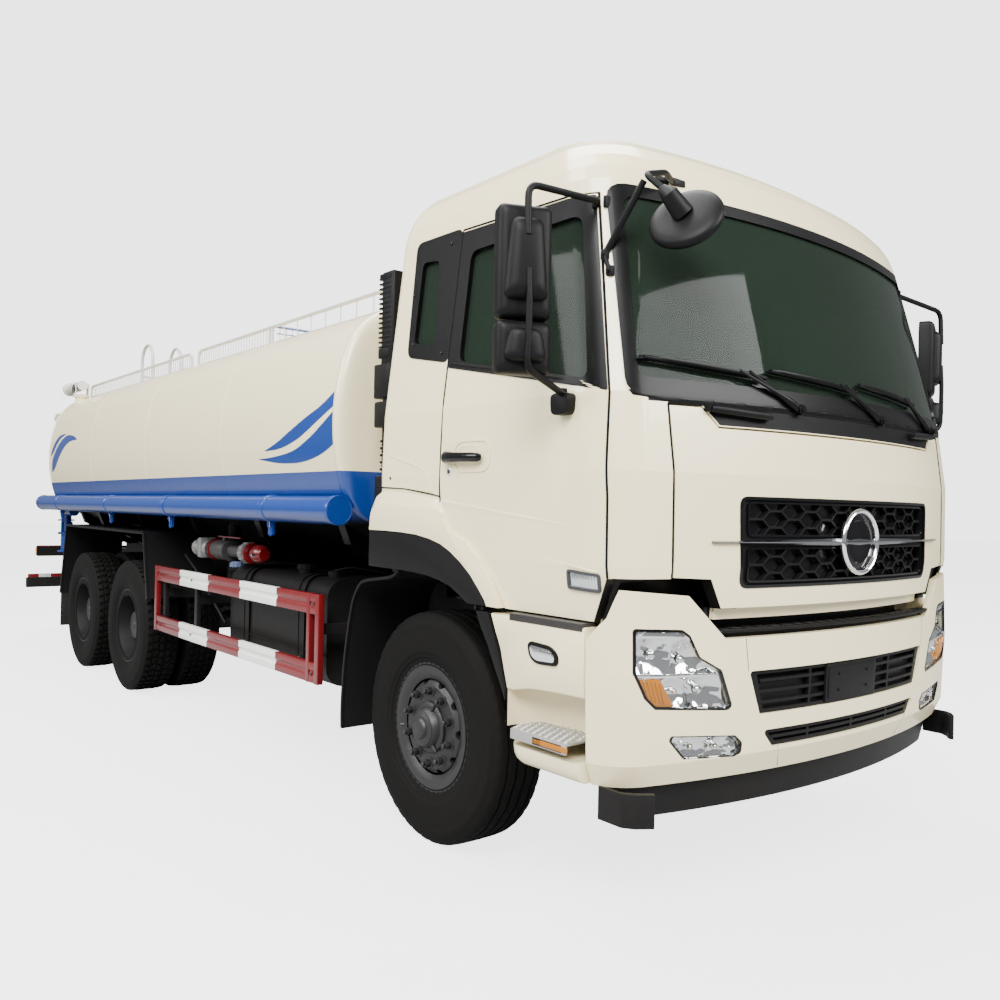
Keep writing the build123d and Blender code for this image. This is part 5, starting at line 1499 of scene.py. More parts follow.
bowls(lamps, drawn_in(HEADLAMP, 13), HEADLAMP_BOWLS, 12, 56, 10)
bowls(lamps, drawn_in(FOG_LAMP, 9), FOG_BOWLS, 14, 50, 9)
CROSS_RIDGE = [(-1146, 972), (-1060, 966), (-900, 962), (-800, 958), (-790, 944), (-905, 950), (-1062, 954),
               (-1146, 960)]
TOP_RIDGE = [(-1144, 1122), (-965, 1113), (-944, 1100), (-950, 1090), (-1144, 1100)]
INDICATOR = [(-1142, 956), (-1048, 950), (-984, 846), (-1062, 852), (-1104, 888), (-1142, 950)]
flat_piece(lamps, CROSS_RIDGE, 8, 30, edge=2)
flat_piece(lamps, TOP_RIDGE, 8, 26, edge=3)
flat_piece(lamps.use("amber"), INDICATOR, 8, 22, edge=3)
for k in range(6):
    x, top, foot = -1132 + 16 * k, 948 - 2 * k, 884 - 5 * k
    flat_piece(lamps, [(x, top), (x + 5, top), (x + 28, foot), (x + 23, foot)], 5, 10, edge=1, radius=1)
lamps.both_sides()
lamps.done("headlamp_insides", "chassis", "chrome", ["front_lamps"])
covers = Shape("lamp_glass")
flat_piece(covers, drawn_in(HEADLAMP, 10), 1.5, 5, radius=10)
flat_piece(covers, drawn_in(FOG_LAMP, 7), 2, 5, radius=8)
covers.both_sides()
covers.done("headlamp_covers", "chassis", "lamp_glass")
print("lamp outlines:", len(HEADLAMP), "and", len(FOG_LAMP), "corners")

# %% [markdown]
# Between the white parts of the nose everything is black: a ledge to stand on and a blank plate in its
# holder, then the back of both intakes and the gap the cab needs to tilt, where dark backings of painted
# shade close the view into the truck. The strip under the lid's corner is a black strip of painted shade as
# well, and runs straight back, as the lid's own cut face does.

# %% Bumper details
SEAM_WIDTH = 4
nose = Shape("trim_black")
# Painted shade: black sheets deep in the intakes and under the lid, for the dark inside the nose.
flat_piece(nose, [(-700, 640), (700, 640), (760, 975), (-760, 975)], 62, 70)
flat_piece(nose, [(-760, 1088), (760, 1088), (760, 1138), (-760, 1138)], 150, 156)
nose.use("black_plastic")
flat_piece(nose, [(-205, 792), (170, 792), (170, 950), (-205, 950)], 2, 14, edge=2)
flat_piece(nose, [(-190, 806), (155, 806), (155, 936), (-190, 936)], -1, 3, edge=1)
for x, z in ((-120, 905), (90, 905), (-120, 838), (90, 838)):
    nose.hex_nut(tuple(BUMPER_FRONT(x, -1, z)), "y", 11, -5, 1)
ridge = Shape("black_plastic")
ridge.prism([(-790, 1104), (790, 1104), (800, 1118), (-800, 1118)], "y", 8, 60, 5)
take_over(nose, on_skin(ridge, BUMPER_FRONT, 40))
for x in range(-700, 701, 70):
    flat_piece(nose, [(x - 26, 1118), (x + 26, 1118), (x + 26, 1121), (x - 26, 1121)], 14, 54, edge=1,
               radius=1)
nose.done("nose_black_parts", "chassis")

# Painted shade: thin grey strips for the shade in the bumper's seam grooves.
seams = Shape("seam")
for x0, z0, x1, z1 in ((-671, 1083, -655, 958), (-487, 654, -440, 562)):
    outline = [(x0, z0), (x0 + SEAM_WIDTH, z0), (x1, z1), (x1 - SEAM_WIDTH, z1)]
    flat_piece(seams, outline, -0.6, 3, edge=0, radius=0.5)
seams.both_sides()
seams.done("bumper_seams", "chassis")

AIR_DAM_END = [(-1198, -1168), (-1198, -1290), (-1170, -1330), (-1110, -1370), (-1098, -1350), (-1150, -1310),
               (-1182, -1270), (-1182, -1168)]
ends = Shape("black_plastic")
ends.prism(rounded_outline(AIR_DAM_END, 8), "z", 436, 556, 2)
ends.both_sides()
ends.done("air_dam_ends", "chassis", "black_plastic")

# The lid's lower corner: x, z and the direction out of its cut edge.
LID_CORNER = [(1000, 1316, 0, -1), (834, 1308, 0.6, -0.8), (776, 1197, 0.6, -0.8), (700, 1197, 0, -1)]
EDGE_STRIP = ((-0.5, 0.5), (2.6, 0.5), (2.6, 48), (-0.5, 48))
# Painted shade: a black strip along the lid's cut edge, for the shade in the gap below it.
lid_edge = Shape("gap_black")
loops = []
for x, z, out_x, out_z in LID_CORNER:
    front = CAB_FRONT(x, 0, z).y
    loops.append([(x + out_x * out, front + depth, z + out_z * out) for out, depth in EDGE_STRIP])
lid_edge.loft(loops)
lid_edge.both_sides()
lid_edge.done("lid_lower_edge", "lid")
# Painted shade: black sheets in the gap the cab needs to tilt and over the cab's cut face beside it.
gap = Shape("trim_black")
gap.prism([(-800, 1152), (800, 1152), (776, 1215), (-776, 1215)], "y", 104, 110, 0)
on_skin(gap, CAB_FRONT, 40)
SIDE_GAP = [(-1300, 1313), (-1209, 1313), (-1209, 1230), (-1176, 1150), (-1186, 1150), (-1250, 1302),
            (-1300, 1306)]
side_gap = Shape("trim_black")
side_gap.prism(SIDE_GAP, "x", 1, 9, 0)
on_skin(side_gap, CAB_SIDE, 20)
side_gap.prism([(-1232, 1312), (-1170, 1150), (-1174, 1149), (-1236, 1311)], "x", -1236, -762, 0)
side_gap.both_sides()
take_over(gap, side_gap)
gap.done("cab_gap_faces", "cab")

# %% [markdown]
# Below each door a white fairing carries the way up: a grooved grey strip under the door, a small oval lamp,
# and a light-metal tread with raised dimples and an amber reflector in its edge.

# %% Entry steps
DIMPLE_ROWS, DIMPLES_A_ROW = 6, 9
OVAL = [(-1002, 968), (-1004, 1010), (-960, 1040), (-842, 1046), (-826, 1030), (-838, 984), (-880, 962)]
OVAL_INSIDE = [(-986, 980), (-988, 1006), (-954, 1026), (-854, 1032), (-844, 1024), (-852, 992), (-884, 976)]
for side, sign in SIDES:
    steps = Shape("iron")
    steps.box((-1252, -1180), (-1128, -706), (1112, 1142), 2)
    for z in range(1117, 1140, 5):
        steps.box((-1254.5, -1250), (-1124, -712), (z, z + 2.4), 0.6)
    steps.use("tread_metal")
    top = rounded_outline([(-1284, -1084), (-1284, -770), (-1230, -744), (-1046, -744), (-1046, -1084)], 20)
    steps.prism(top, "z", 690, 699, 2)
    lip = rounded_outline([(-1285, -1086), (-1285, -766), (-1232, -742), (-1220, -742), (-1272, -774),
                           (-1272, -1086)], 6)
    steps.prism(lip, "z", 660, 697, 2)
    steps.use("black_plastic").box((-1286, -1281), (-1064, -900), (664, 692), 1.5)
    steps.use("amber").box((-1287, -1283), (-1096, -946), (668, 688), 1)
    for y in range(-1054, -908, 8):
        steps.box((-1287.6, -1286), (y, y + 4), (670, 686), 0.4)
    replaced = ["step_treads"] if side == "right" else ()
    finish_side(steps, f"entry_steps_{side}", "chassis", side, "tread_metal", replaced)
    dimple = Shape("tread_metal")
    dimple.turned([(0, 15), (2, 13), (4.5, 10.5), (5, 8), (3, 6.5), (0, 6)], (0, 0, 0), "z", 16)
    data = item_mesh(dimple)
    rows = []
    for row in range(DIMPLE_ROWS):
        start = at(sign * (1258 - 34 * row), -1062 + 18 * (row % 2), 698)
        rows.append(row_of(data, "tread_metal", DIMPLES_A_ROW, start, 0.036))
    joined(f"tread_dimples_{side}", rows, "chassis")
    lamp = Shape("trim_black")
    lamp.prism(rounded_outline(OVAL, 24), "x", -1258, -1240, 3)
    lamp.use("chrome").prism(rounded_outline(OVAL_INSIDE, 16), "x", -1261, -1256, 2)
    for y in range(-975, -858, 13):
        lamp.box((-1263, -1260), (y, y + 6), (988, 1020), 1)
    finish_side(lamp, f"side_lamp_{side}", "chassis", side)
print("entry steps with", DIMPLE_ROWS * DIMPLES_A_ROW, "dimples each")

# %% [markdown]
# Seen through tinted glass the cabin is only a few dark shapes, but they have to be the right ones: padded
# seats, a lined roof, a curtain across the rear window, trimmed doors and a small mirror. Without the lining
# the white pressing of the cab would glow through the windscreen. Seats are crowned pads with sewn channels,
# made by moving the points of a rounded form, since a cloth simulation would show no more from outside.

# %% Cabin
PAD_GRID = (26, 44)
SEAT_X = 600


def signed_power(value, power):
    """A power below one squares a circle off; the sign is kept."""
    return math.copysign(abs(value) ** power, value)


def pad_mesh(name, centre, half, tilt, channels, body):
    """A stuffed closed form: crowned faces, sides drawn in, channels sewn across its broad face."""
    rings, steps = PAD_GRID
    turn = Matrix.Rotation(tilt, 3, "X")
    made = Shape("seat_fabric")
    loops = []
    for ring in range(1, rings):
        up = math.pi * (ring / rings - 0.5)
        loop = []
        for step in range(steps):
            around = 2 * math.pi * step / steps
            x = half[0] * signed_power(math.cos(around), 0.32) * signed_power(math.cos(up), 0.38)
            z = half[2] * signed_power(math.sin(around), 0.32) * signed_power(math.cos(up), 0.38)
            y = half[1] * signed_power(math.sin(up), 0.75)
            crown = 1 - 0.10 * (x / half[0]) ** 2 - 0.08 * (z / half[2]) ** 2
            groove = sum(math.exp(-((z / half[2] - c) / 0.035) ** 2) for c in channels) * 0.10
            groove += math.exp(-((abs(x) / half[0] - 0.62) / 0.03) ** 2) * 0.12
            y *= crown - groove
            pull = 1 - 0.025 * (1 - abs(z / half[2]) ** 2) if abs(x) > 0.8 * half[0] else 1.0
            loop.append(tuple(Vector(centre) + turn @ Vector((x * pull, y, z))))
        loops.append(loop)
    made.loft(loops)
    piece = made.done(name, body, "seat_fabric", sharp=math.radians(70))
    return piece


for side, sign in SIDES:
    x = sign * SEAT_X
    pad_mesh(f"seat_cushion_{side}", (x, -262, 1702), (246, 54, 250), math.radians(90), (-0.35, 0.3), "cab")
    pad_mesh(f"seat_back_{side}", (x, 6, 2060), (238, 56, 300), math.radians(-10), (-0.5, 0.0, 0.5), "cab")
    pad_mesh(f"head_rest_{side}", (x, 78, 2388), (140, 44, 56), math.radians(-10), (), "cab")
frames = Shape("black_plastic")
for x in (-SEAT_X, SEAT_X):
    frames.box((x - 178, x + 178), (-428, -62), (1512, 1650), 14)
    frames.box((x - 205, x + 205), (-470, -40), (1560, 1590), 8)
    for post in (x - 60, x + 60):
        frames.tube([(post, 62, 2330), (post, 74, 2380)], 8, 0, 8)
frames.done("seat_frames", "cab", "seat_fabric", ["seats"])

lining = Shape("lining")
for span in ((-1000, -500), (500, 1000), (-500, 500)):
    lining.box(span, (262, 276), (1520, 2800), 4)
lining.box((-900, 900), (-780, 200), (2990, 3004), 4)
for index in range(7):
    lining.box((-880, 880), (-760 + 140 * index, -752 + 140 * index), (2986, 2992), 1)
lining.box((-1000, 1000), (-560, 250), (1512, 1518), 2)
lining.box((-1060, 1060), (-1200, -900), (1200, 1206), 2)
for x in range(-470, 471, 47):
    lining.rod((x, 262, 2036), (x, 262, 2514), 14, 10, 4)
for side_x in (-1, 1):
    lining.box((side_x * 1105 - 6, side_x * 1105 + 6), (-170, 250), (1520, 2200), 4)
lining.box((0, 220), (-1062, -1040), (2650, 2712), 9)
lining.tube([(110, -1046, 2700), (112, -1010, 2790)], 8, 0, 10)
lining.tube([(1000, -1095, 2440), (985, -1110, 2400), (1000, -1140, 2270), (1030, -1130, 2240)], 13, 20, 10)
lining.done("cab_lining", "cab")
for side, _ in SIDES:
    trim = Shape("lining")
    trim.prism([(-1120, 1250), (-560, 1250), (-420, 1470), (-230, 1600), (-230, 2150), (-1120, 1980)], "x",
               66, 74, 4)
    on_skin(trim, CAB_SIDE, 80)
    trim.box((-1165, -1120), (-900, -420), (1780, 1830), 12)
    finish_side(trim, f"door_trim_{side}", f"{side}_door", side)
print("cabin pieces placed")

# %% [markdown]
# The tank is one long rolled shell, oval in section, with pressed heads. Its section is five arcs a side,
# and every piece that lies on it asks the same arcs where the wall is at a height. An arc without a middle
# point crosses the centre line, so its mirror image gives the third point of its circle.

# %% The tank's section
TANK_ARCS = [((0, 2750), None, (900, 2648)), ((900, 2648), (1060, 2548), (1152, 2400)),
             ((1152, 2400), (1215, 2010), (1152, 1620)), ((1152, 1620), (1068, 1512), (930, 1440)),
             ((930, 1440), None, (0, 1200))]
ARC_STEPS = (14, 7, 12, 6, 14)
TANK_MIDDLE_Z = 1975


def circle_through(first, second, third):
    """Centre and radius of the circle through three points."""
    (ax, ay), (bx, by), (cx, cy) = first, second, third
    d = 2 * (ax * (by - cy) + bx * (cy - ay) + cx * (ay - by))
    a, b, c = ax * ax + ay * ay, bx * bx + by * by, cx * cx + cy * cy
    x = (a * (by - cy) + b * (cy - ay) + c * (ay - by)) / d
    y = (a * (cx - bx) + b * (ax - cx) + c * (bx - ax)) / d
    return x, y, math.hypot(ax - x, ay - y)


def arc_circle(arc):
    start, through, end = arc
    if through is None:
        other, axis = (end, start) if start[0] == 0 else (start, end)
        return circle_through(other, axis, (-other[0], other[1]))
    return circle_through(start, through, end)


CIRCLES = [arc_circle(arc) for arc in TANK_ARCS]


def tank_side(z):
    """Half width of the tank at a height."""
    for (*_, end), (x, y, radius) in zip(TANK_ARCS[1:4], CIRCLES[1:4]):
        if z >= end[1] or end == TANK_ARCS[3][2]:
            return x + math.sqrt(max(radius ** 2 - (z - y) ** 2, 0))


def tank_ring(y, scale):
    """The whole section at a place along the tank, scaled about its own middle."""
    half = []
    for (start, _, end), (x, z, radius), count in zip(TANK_ARCS, CIRCLES, ARC_STEPS):
        low, high = (math.atan2(p[1] - z, p[0] - x) for p in (start, end))
        angles = [low + (high - low) * k / count for k in range(count)]
        half += [(x + radius * math.cos(angle), z + radius * math.sin(angle)) for angle in angles]
    half.append(TANK_ARCS[-1][2])
    whole = half + [(-px, pz) for px, pz in reversed(half[1:-1])]
    return [(px * scale, y, TANK_MIDDLE_Z + (pz - TANK_MIDDLE_Z) * scale) for px, pz in whole]


print("half widths at four heights:", [round(tank_side(z)) for z in (2500, 2200, 1800, 1500)])

# %% [markdown]
# A pressed head turns into the shell over a rounded knuckle, which shows as a soft light band down the edge.
# The CAD has a plain chamfer there, so a lofted cap with a true knuckle is laid over each end. A shell this
# long is also welded from strakes, and each weld leaves a low bead.

# %% Tank heads and weld beads
KNUCKLE = [(872, 1.0004), (868, 1.0030), (852, 1.0032), (838, 1.0015), (828, 0.9965), (820, 0.9890),
           (814, 0.9800), (809, 0.9680),
           (805, 0.9500), (801, 0.9200), (798, 0.8700), (795, 0.8000), (791, 0.6200), (787.4, 0.4200),
           (786.5, 0.2)]
WELD_BEAD = ((-5, 0.9995), (-3, 1.0008), (0, 1.0014), (3, 1.0008), (5, 0.9995))
BOTH_ENDS = 8020
heads = Shape("tank_paint")
heads.loft([tank_ring(y, scale) for y, scale in KNUCKLE])
heads.loft([tank_ring(BOTH_ENDS - y, scale) for y, scale in KNUCKLE])
for y in (2430, 4010, 5590):
    heads.loft([tank_ring(y + dy, scale) for dy, scale in WELD_BEAD], cap=False)
heads.done("tank_heads", "chassis")

# %% [markdown]
# Two blue swooshes decorate each side, at the front and at the rear. A swoosh is a ribbon between an upper
# and a lower line, cut into narrow strips so that it follows the wall, and it stands a paint film's
# thickness proud.

# %% Swooshes
SWOOSH_PARTS = 26
PAINT_FILM = 1.6


def smooth_line(points, count):
    """A curve through points, evenly parted."""
    points = [Vector(p) for p in points]
    ends = [points[0] * 2 - points[1]] + points + [points[-1] * 2 - points[-2]]
    line = []
    for k in range(count + 1):
        t = k / count * (len(points) - 1)
        i = min(int(t), len(points) - 2)
        t -= i
        a, b, c, d = ends[i:i + 4]
        square, cube = 2 * a - 5 * b + 4 * c - d, 3 * b - a - 3 * c + d
        line.append(0.5 * (2 * b + (c - a) * t + square * t ** 2 + cube * t ** 3))
    return line


def swoosh(shape, upper, lower):
    """A ribbon on the tank's right side between two lines of (y, z)."""
    rings = []
    for high, low in zip(smooth_line(upper, SWOOSH_PARTS), smooth_line(lower, SWOOSH_PARTS)):
        across = [high.lerp(low, k / 4) for k in range(5)]
        outer = [(-tank_side(p.y) - PAINT_FILM, p.x, p.y) for p in across]
        rings.append(outer + [(-tank_side(p.y) + 2, p.x, p.y) for p in reversed(across)])
    return shape.loft(rings)


swooshes = Shape("blue_paint")
swoosh(swooshes, [(862, 2172), (1012, 2102), (1192, 2046), (1375, 1985), (1559, 1924), (1735, 1880)],
       [(860, 2092), (1013, 2032), (1237, 1947), (1400, 1905), (1560, 1882), (1738, 1876)])
swoosh(swooshes, [(862, 2064), (1009, 1990), (1147, 1930), (1356, 1866), (1629, 1838), (1832, 1832)],
       [(860, 1888), (966, 1850), (1113, 1816), (1305, 1796), (1560, 1800), (1832, 1828)])
swoosh(swooshes, [(6090, 2150), (6224, 2190), (6390, 2209), (6513, 2210), (6640, 2186), (6769, 2140),
                  (6930, 2050), (7030, 1960), (7070, 1856)],
       [(6086, 2146), (6200, 2150), (6317, 2146), (6440, 2128), (6560, 2090), (6690, 2030), (6840, 1940),
        (6950, 1880), (7060, 1850)])
swoosh(swooshes, [(6559, 2226), (6648, 2232), (6819, 2218), (6930, 2178), (7030, 2110), (7094, 2030)],
       [(6570, 2222), (6660, 2208), (6770, 2182), (6880, 2126), (6980, 2060), (7088, 2020)])
swooshes.both_sides()
swooshes.done("swooshes", "chassis", "blue_paint")
print("swooshes on both sides")

# %% [markdown]
# A long tube along each side holds the suction hoses. It has pressed rings, a hinged cap with a rim in front,
# and over-centre latches that hang below the rings.

# %% Hose tube details
TUBE_X, TUBE_Z, TUBE_R = -1196, 1530, 77
# Along the tube, and out from its wall.
TUBE_RING = [(-34, -2), (-32, 3), (-27, 5.5), (-22, 3), (-20, 1), (20, 1), (22, 3), (27, 4.5), (32, 3),
             (34, -2)]
tubes = Shape("blue_paint")
for y in (1654, 3408, 4930, 6650):
    ring = [(along, TUBE_R + out) for along, out in TUBE_RING]
    tubes.turned(ring, (TUBE_X, y, TUBE_Z), "y", 40, cap=False)
    tubes.box((TUBE_X - 15, TUBE_X + 15), (y - 26, y + 26), (1418, 1456), 5)
    tubes.box((TUBE_X - 11, TUBE_X + 11), (y - 18, y + 18), (1384, 1424), 4)
    tubes.rod((TUBE_X - 24, y, 1436), (TUBE_X + 24, y, 1436), 9, 14)
    tubes.rod((TUBE_X, y, 1392), (TUBE_X, y, 1366), 10, 14, 2)
    lever = [Vector((TUBE_X + dx, y + dy, z))
             for dx, dy, z in ((-19, -16, 1446), (-24, -34, 1420), (-22, -44, 1388))]
    tubes.sweep(lever, [8, 7, 5], 10, 0.6)
    tubes.hex_nut((TUBE_X, y, 1376), "z", 18, -12, 1.5)
CAP = [(44, TUBE_R - 1), (40, TUBE_R + 4), (6, TUBE_R + 4), (1, TUBE_R + 2), (0, TUBE_R - 4), (3, TUBE_R - 9),
       (4, 40),
       (1, 34), (1, 0.5)]
for y, sign in ((810, 1), (7460, -1)):
    tubes.turned(outwards(CAP, sign), (TUBE_X, y, TUBE_Z), "y", 44)
    hinge = sorted((y + sign * 8, y + sign * 40))
    tubes.box((TUBE_X - 12, TUBE_X + 12), hinge, (TUBE_Z + TUBE_R - 2, TUBE_Z + TUBE_R + 4), 2)
tubes.both_sides()
tubes.done("hose_tube_details", "chassis", "blue_paint")

# %% [markdown]
# The walkway on top has a railing a side: a bent tube for its hand rail and thin upright bars, close together
# over the rear part and wide apart in front. A blue gate crosses the walkway. All bars are repeats of one
# thin bar, made by the row tree.

# %% Railings
RAIL_X = 800
# Bars in a row, where it starts along the truck, and their spacing in metres.
BAR_ROWS = ((7, 1180, 0.200), (26, 2672, 0.050), (59, 4200, 0.050))
GATE_BARS = 33
rail = Shape("rail_paint")
for start, end in ((1004, 3992), (4144, 7196)):
    rail.tube([(-RAIL_X, start, 2652), (-RAIL_X, start, 2806), (-RAIL_X, end, 2806), (-RAIL_X, end, 2652)],
              12, 70, 12)
    for y in (start, end):
        rail.turned([(0, 26), (5, 25), (7, 20)], (-RAIL_X, y, 2652 + 6), "z", 16)
for y in (2570, 2620):
    rail.tube([(-RAIL_X, y, 2660), (-RAIL_X, y, 2800)], 9, 0, 10)
for span in ((1010, 3990), (4150, 7190)):
    rail.box((-RAIL_X - 5, -RAIL_X + 5), span, (2688, 2696), 1.5)
rail.both_sides()
rail_mesh = bpy.data.meshes.new("rails")
for vertex in rail.mesh.verts:
    vertex.co = at(*vertex.co)
rail.mesh.to_mesh(rail_mesh)
rail.mesh.free()
rail_mesh.materials.append(MATERIALS["rail_paint"])
thin_bar = item_mesh(Shape("rail_paint").rod((0, 0, 0), (0, 0, 138), 3.6, 8, 0.6))
parts = [rail_mesh]
for side_x in (-RAIL_X, RAIL_X):
    for count, first, step in BAR_ROWS:
        parts.append(row_of(thin_bar, "rail_paint", count, at(side_x, first, 2664), step))
parts.append(repeated(IN_A_ROW, thin_bar, "rail_paint", Count=GATE_BARS, Start=at(-768, 2520, 2664),
                      Step=Vector((0.048, 0, 0))))
joined("walkway_railings", parts, "chassis", ["top_railings"])
gate = Shape("blue_paint")
gate.box((-792, 792), (2508, 2532), (2794, 2808), 3)
gate.box((-792, 792), (2512, 2528), (2752, 2758), 2)
gate.box((-330, -250), (3880, 4060), (2812, 2816.5), 1.5)
gate.done("walkway_gate", "chassis", "blue_paint")
print("railing bars:", 2 * sum(row[0] for row in BAR_ROWS) + GATE_BARS)

# %% [markdown]
# The walkway itself is a strip of raised chequer plate with a kerb, and the manhole is held shut by six swing
# bolts. Both are easy to forget, since they are only seen from above.

# %% Walkway and manhole
walk = Shape("tread_metal")
for low, high in ((1010, 3640), (4360, 6880)):
    walk.box((-330, 330), (low, high), (2742, 2754), 2)
    for x in (-334, 334):
        walk.box((x - 4, x + 4), (low, high), (2722, 2768), 2)
walk.done("walkway_plates", "chassis", "tread_metal")
stud = Shape("tread_metal")
stud.prism(rounded_outline([(-22, -4), (22, -4), (22, 4), (-22, 4)], 4, 2), "z", -1, 3, 1)
studs = item_mesh(stud)
rows = []
for row in range(11):
    x = -300 + 60 * row
    for first, count in ((1050 + 30 * (row % 2), 43), (4400 + 30 * (row % 2), 41)):
        rows.append(row_of(studs, "tread_metal", count, at(x, first, 2754), 0.06))
joined("chequer_studs", rows, "chassis")

MANHOLE = (0, 4000, 2838)
clamps = Shape("chrome")
for x, y, z in circle_of(MANHOLE, 262, 6, phase=0.5):
    clamps.rod((x, y, z), (x, y, z + 18), 8, 12, 1)
    clamps.hex_nut((x, y, z + 2), "z", 22, 9, 1.5)
clamps.use("tank_paint")
clamps.turned([(0, 150), (7, 146), (12, 130), (15, 80), (16, 0.5)], MANHOLE, "z", 48)
clamps.tube([(-60, 4080, 2850), (-60, 4080, 2884), (60, 4080, 2884), (60, 4080, 2850)], 8, 18, 12)
clamps.done("manhole_clamps", "manhole")

# %% [markdown]
# The water cannon stands on the rear right shoulder: a short fat barrel with a flared mouth and a ring at
# each joint, on a turret with a hand wheel. A small work lamp hangs on the rear edge below it.

# %% Cannon and lamp
CANNON_X, CANNON_Y, BARREL_Z = -960, 6980, 2778
HAND_WHEEL = (-1036, CANNON_Y, 2740)
barrel = Shape("rail_paint")
for y, r in ((7062, 41), (7130, 43), (7290, 41)):
    ring = [(-9, r), (-8, r + 5), (-5, r + 8), (5, r + 8), (8, r + 5), (9, r)]
    barrel.turned(ring, (CANNON_X, y, BARREL_Z), "y", 32, cap=False)
mouth = [(-60, 44), (-20, 50), (14, 60), (22, 66), (24, 62), (8, 54), (-30, 40)]
barrel.turned(mouth, (CANNON_X, 7434, BARREL_Z), "y", 40, cap=False)
barrel.done("cannon_rings", "barrel", "rail_paint")
turret = Shape("rail_paint")
turret.turned([(0, 76), (7, 74), (9, 58), (10, 40)], (CANNON_X, CANNON_Y, 2669), "z", 32)
for spot in circle_of((CANNON_X, CANNON_Y, 2676), 62, 6):
    turret.hex_nut(spot, "z", 13, 8, 1)
turret.use("black_plastic").turned([(-5, 40), (-3, 45), (3, 45), (5, 40), (0, 37)], HAND_WHEEL, "x", 28,
                                   closed=True)
turret.use("iron").rod((-1016, CANNON_Y, 2740), (-1038, CANNON_Y, 2740), 9, 12)
for spot in circle_of(HAND_WHEEL, 40, 3, "x", 0.9 / (2 * math.pi)):
    turret.rod(HAND_WHEEL, spot, 3.5, 8, 0.5)
turret.done("cannon_turret_details", "turret")
WORK_LAMP = (-1105, 7236, 2440)
lamp = Shape("rail_paint")
lamp.turned([(0, 46), (6, 52), (16, 54), (40, 44), (54, 24), (58, 0.5)], WORK_LAMP, "y", 32)
for x, y, z in circle_of(WORK_LAMP, 50, 8, "y"):
    lamp.rod((x, y - 3, z), (x, y + 7, z), 5, 8, 1)
lamp.use("lamp_glass").turned([(-1, 47), (-2, 44), (-5, 20), (-6, 0.5)], WORK_LAMP, "y", 28)
lamp.use("iron").tube([(-1096, 7256, 2394), (-1080, 7240, 2350), (-1060, 7200, 2340)], 7, 10, 10)
lamp.done("rear_work_lamp", "chassis")
print("cannon dressed")
# %% [markdown]
# Behind the cab stands the engine's air intake: a tall ribbed snorkel, two resonator boxes, a rubber bellows
# that lets the cab tilt away from it, and a foot. It is moulded plastic throughout.

# %% Air intake
def rounded_box(shape, x, y, z, corner, edge):
    """A box whose upright edges are rounded much more than its others."""
    outline = rounded_outline([(x[0], y[0]), (x[1], y[0]), (x[1], y[1]), (x[0], y[1])], corner)
    return shape.prism(outline, "z", z[0], z[1], edge)


SLATS = 15
intake = Shape("black_plastic")
rounded_box(intake, (-1112, -960), (452, 566), (2258, 2758), 16, 6)
for index in range(SLATS):
    z = 2372 + index * 25
    bulge = 6 * math.sin(index / (SLATS - 1) * math.pi)
    slat = [(-1114, 470), (-960, 470), (-960, 592 - bulge), (-1114, 592)]
    intake.prism(rounded_outline(slat, 6, 2), "z", z, z + 9, 2)
for x, y, z, corner, edge in (((-1115, -970), (468, 588), (2730, 2752), 10, 4),
                              ((-1116, -970), (486, 590), (2318, 2368), 14, 5),
                              ((-1120, -950), (468, 624), (2112, 2288), 20, 10),
                              ((-1118, -950), (468, 618), (1962, 2096), 20, 12)):
    rounded_box(intake, x, y, z, corner, edge)
intake.tube([(-1080, 530, 2120), (-1080, 530, 1880)], 30, 0, 16)
for index in range(9):
    z = 1890 - index * 18
    r = 52 if index % 2 == 0 else 44
    intake.turned([(-8, r - 9), (-4, r), (4, r), (8, r - 9)], (-1066, 528, z), "z", 28, cap=False)
intake.turned([(-160, 40), (0, 40)], (-1066, 528, 1890), "z", 24)
rounded_box(intake, (-1114, -930), (462, 604), (1330, 1712), 18, 8)
rounded_box(intake, (-1118, -926), (456, 608), (1560, 1584), 18, 4)
intake.box((-1000, -432), (476, 594), (1212, 1330), 12)
intake.box((-462, -432), (476, 594), (962, 1300), 5)
for y in (500, 566):
    for z in (1000, 1160):
        intake.use("iron").hex_nut((-462, y, z), "x", 22, -9, 2)
intake.done("air_intake", "chassis", "black_plastic", ["intake_stack"])

# %% [markdown]
# The wheel arch has three layers. A white band follows the door's rear edge, stands a finger's width proud
# and ends in a soft chamfer on top. A broad black plastic lip lies under it and runs on down the fairing in
# front of the wheel, where it no longer belongs to the cab but to the chassis.

# %% Wheel arch bands
DOOR_SIDE = [(-629, 1152), (-579, 1244), (-495, 1344), (-397, 1415), (-271, 1456), (-250, 1480), (-232, 1530),
             (-200, 1584)]
BAND_TOP = [(-150, 1600), (6, 1612), (135, 1622), (290, 1629), (352, 1600), (396, 1540), (404, 1440)]
BLACK_LINE = [(404, 1438), (240, 1440), (106, 1437), (-21, 1430), (-132, 1415), (-223, 1394), (-300, 1363),
              (-375, 1322), (-437, 1273),
              (-495, 1220), (-538, 1177), (-553, 1152)]
BLACK_INNER = [(404, 1262), (256, 1260), (143, 1260), (14, 1256), (-110, 1249), (-209, 1233), (-286, 1215),
               (-361, 1182), (-417, 1152)]
CHAMFERED = {(-200, 1584): (-212, 1536), (-150, 1600): (-160, 1548), (6, 1612): (6, 1556),
             (135, 1622): (135, 1566),
             (290, 1629): (280, 1572), (352, 1600): (340, 1560), (396, 1540): (386, 1520),
             (404, 1440): (396, 1440)}
white = Shape("cab_paint")
line = DOOR_SIDE + BAND_TOP + BLACK_LINE[1:]
rings = [[(x, y, z) for y, z in line] for x in (-1180, -1240, -1245)]
for x in (-1256, -1257):
    rings.append([(x + (6 if z < 1300 else 0), *CHAMFERED.get((y, z), (y, z))) for y, z in line])
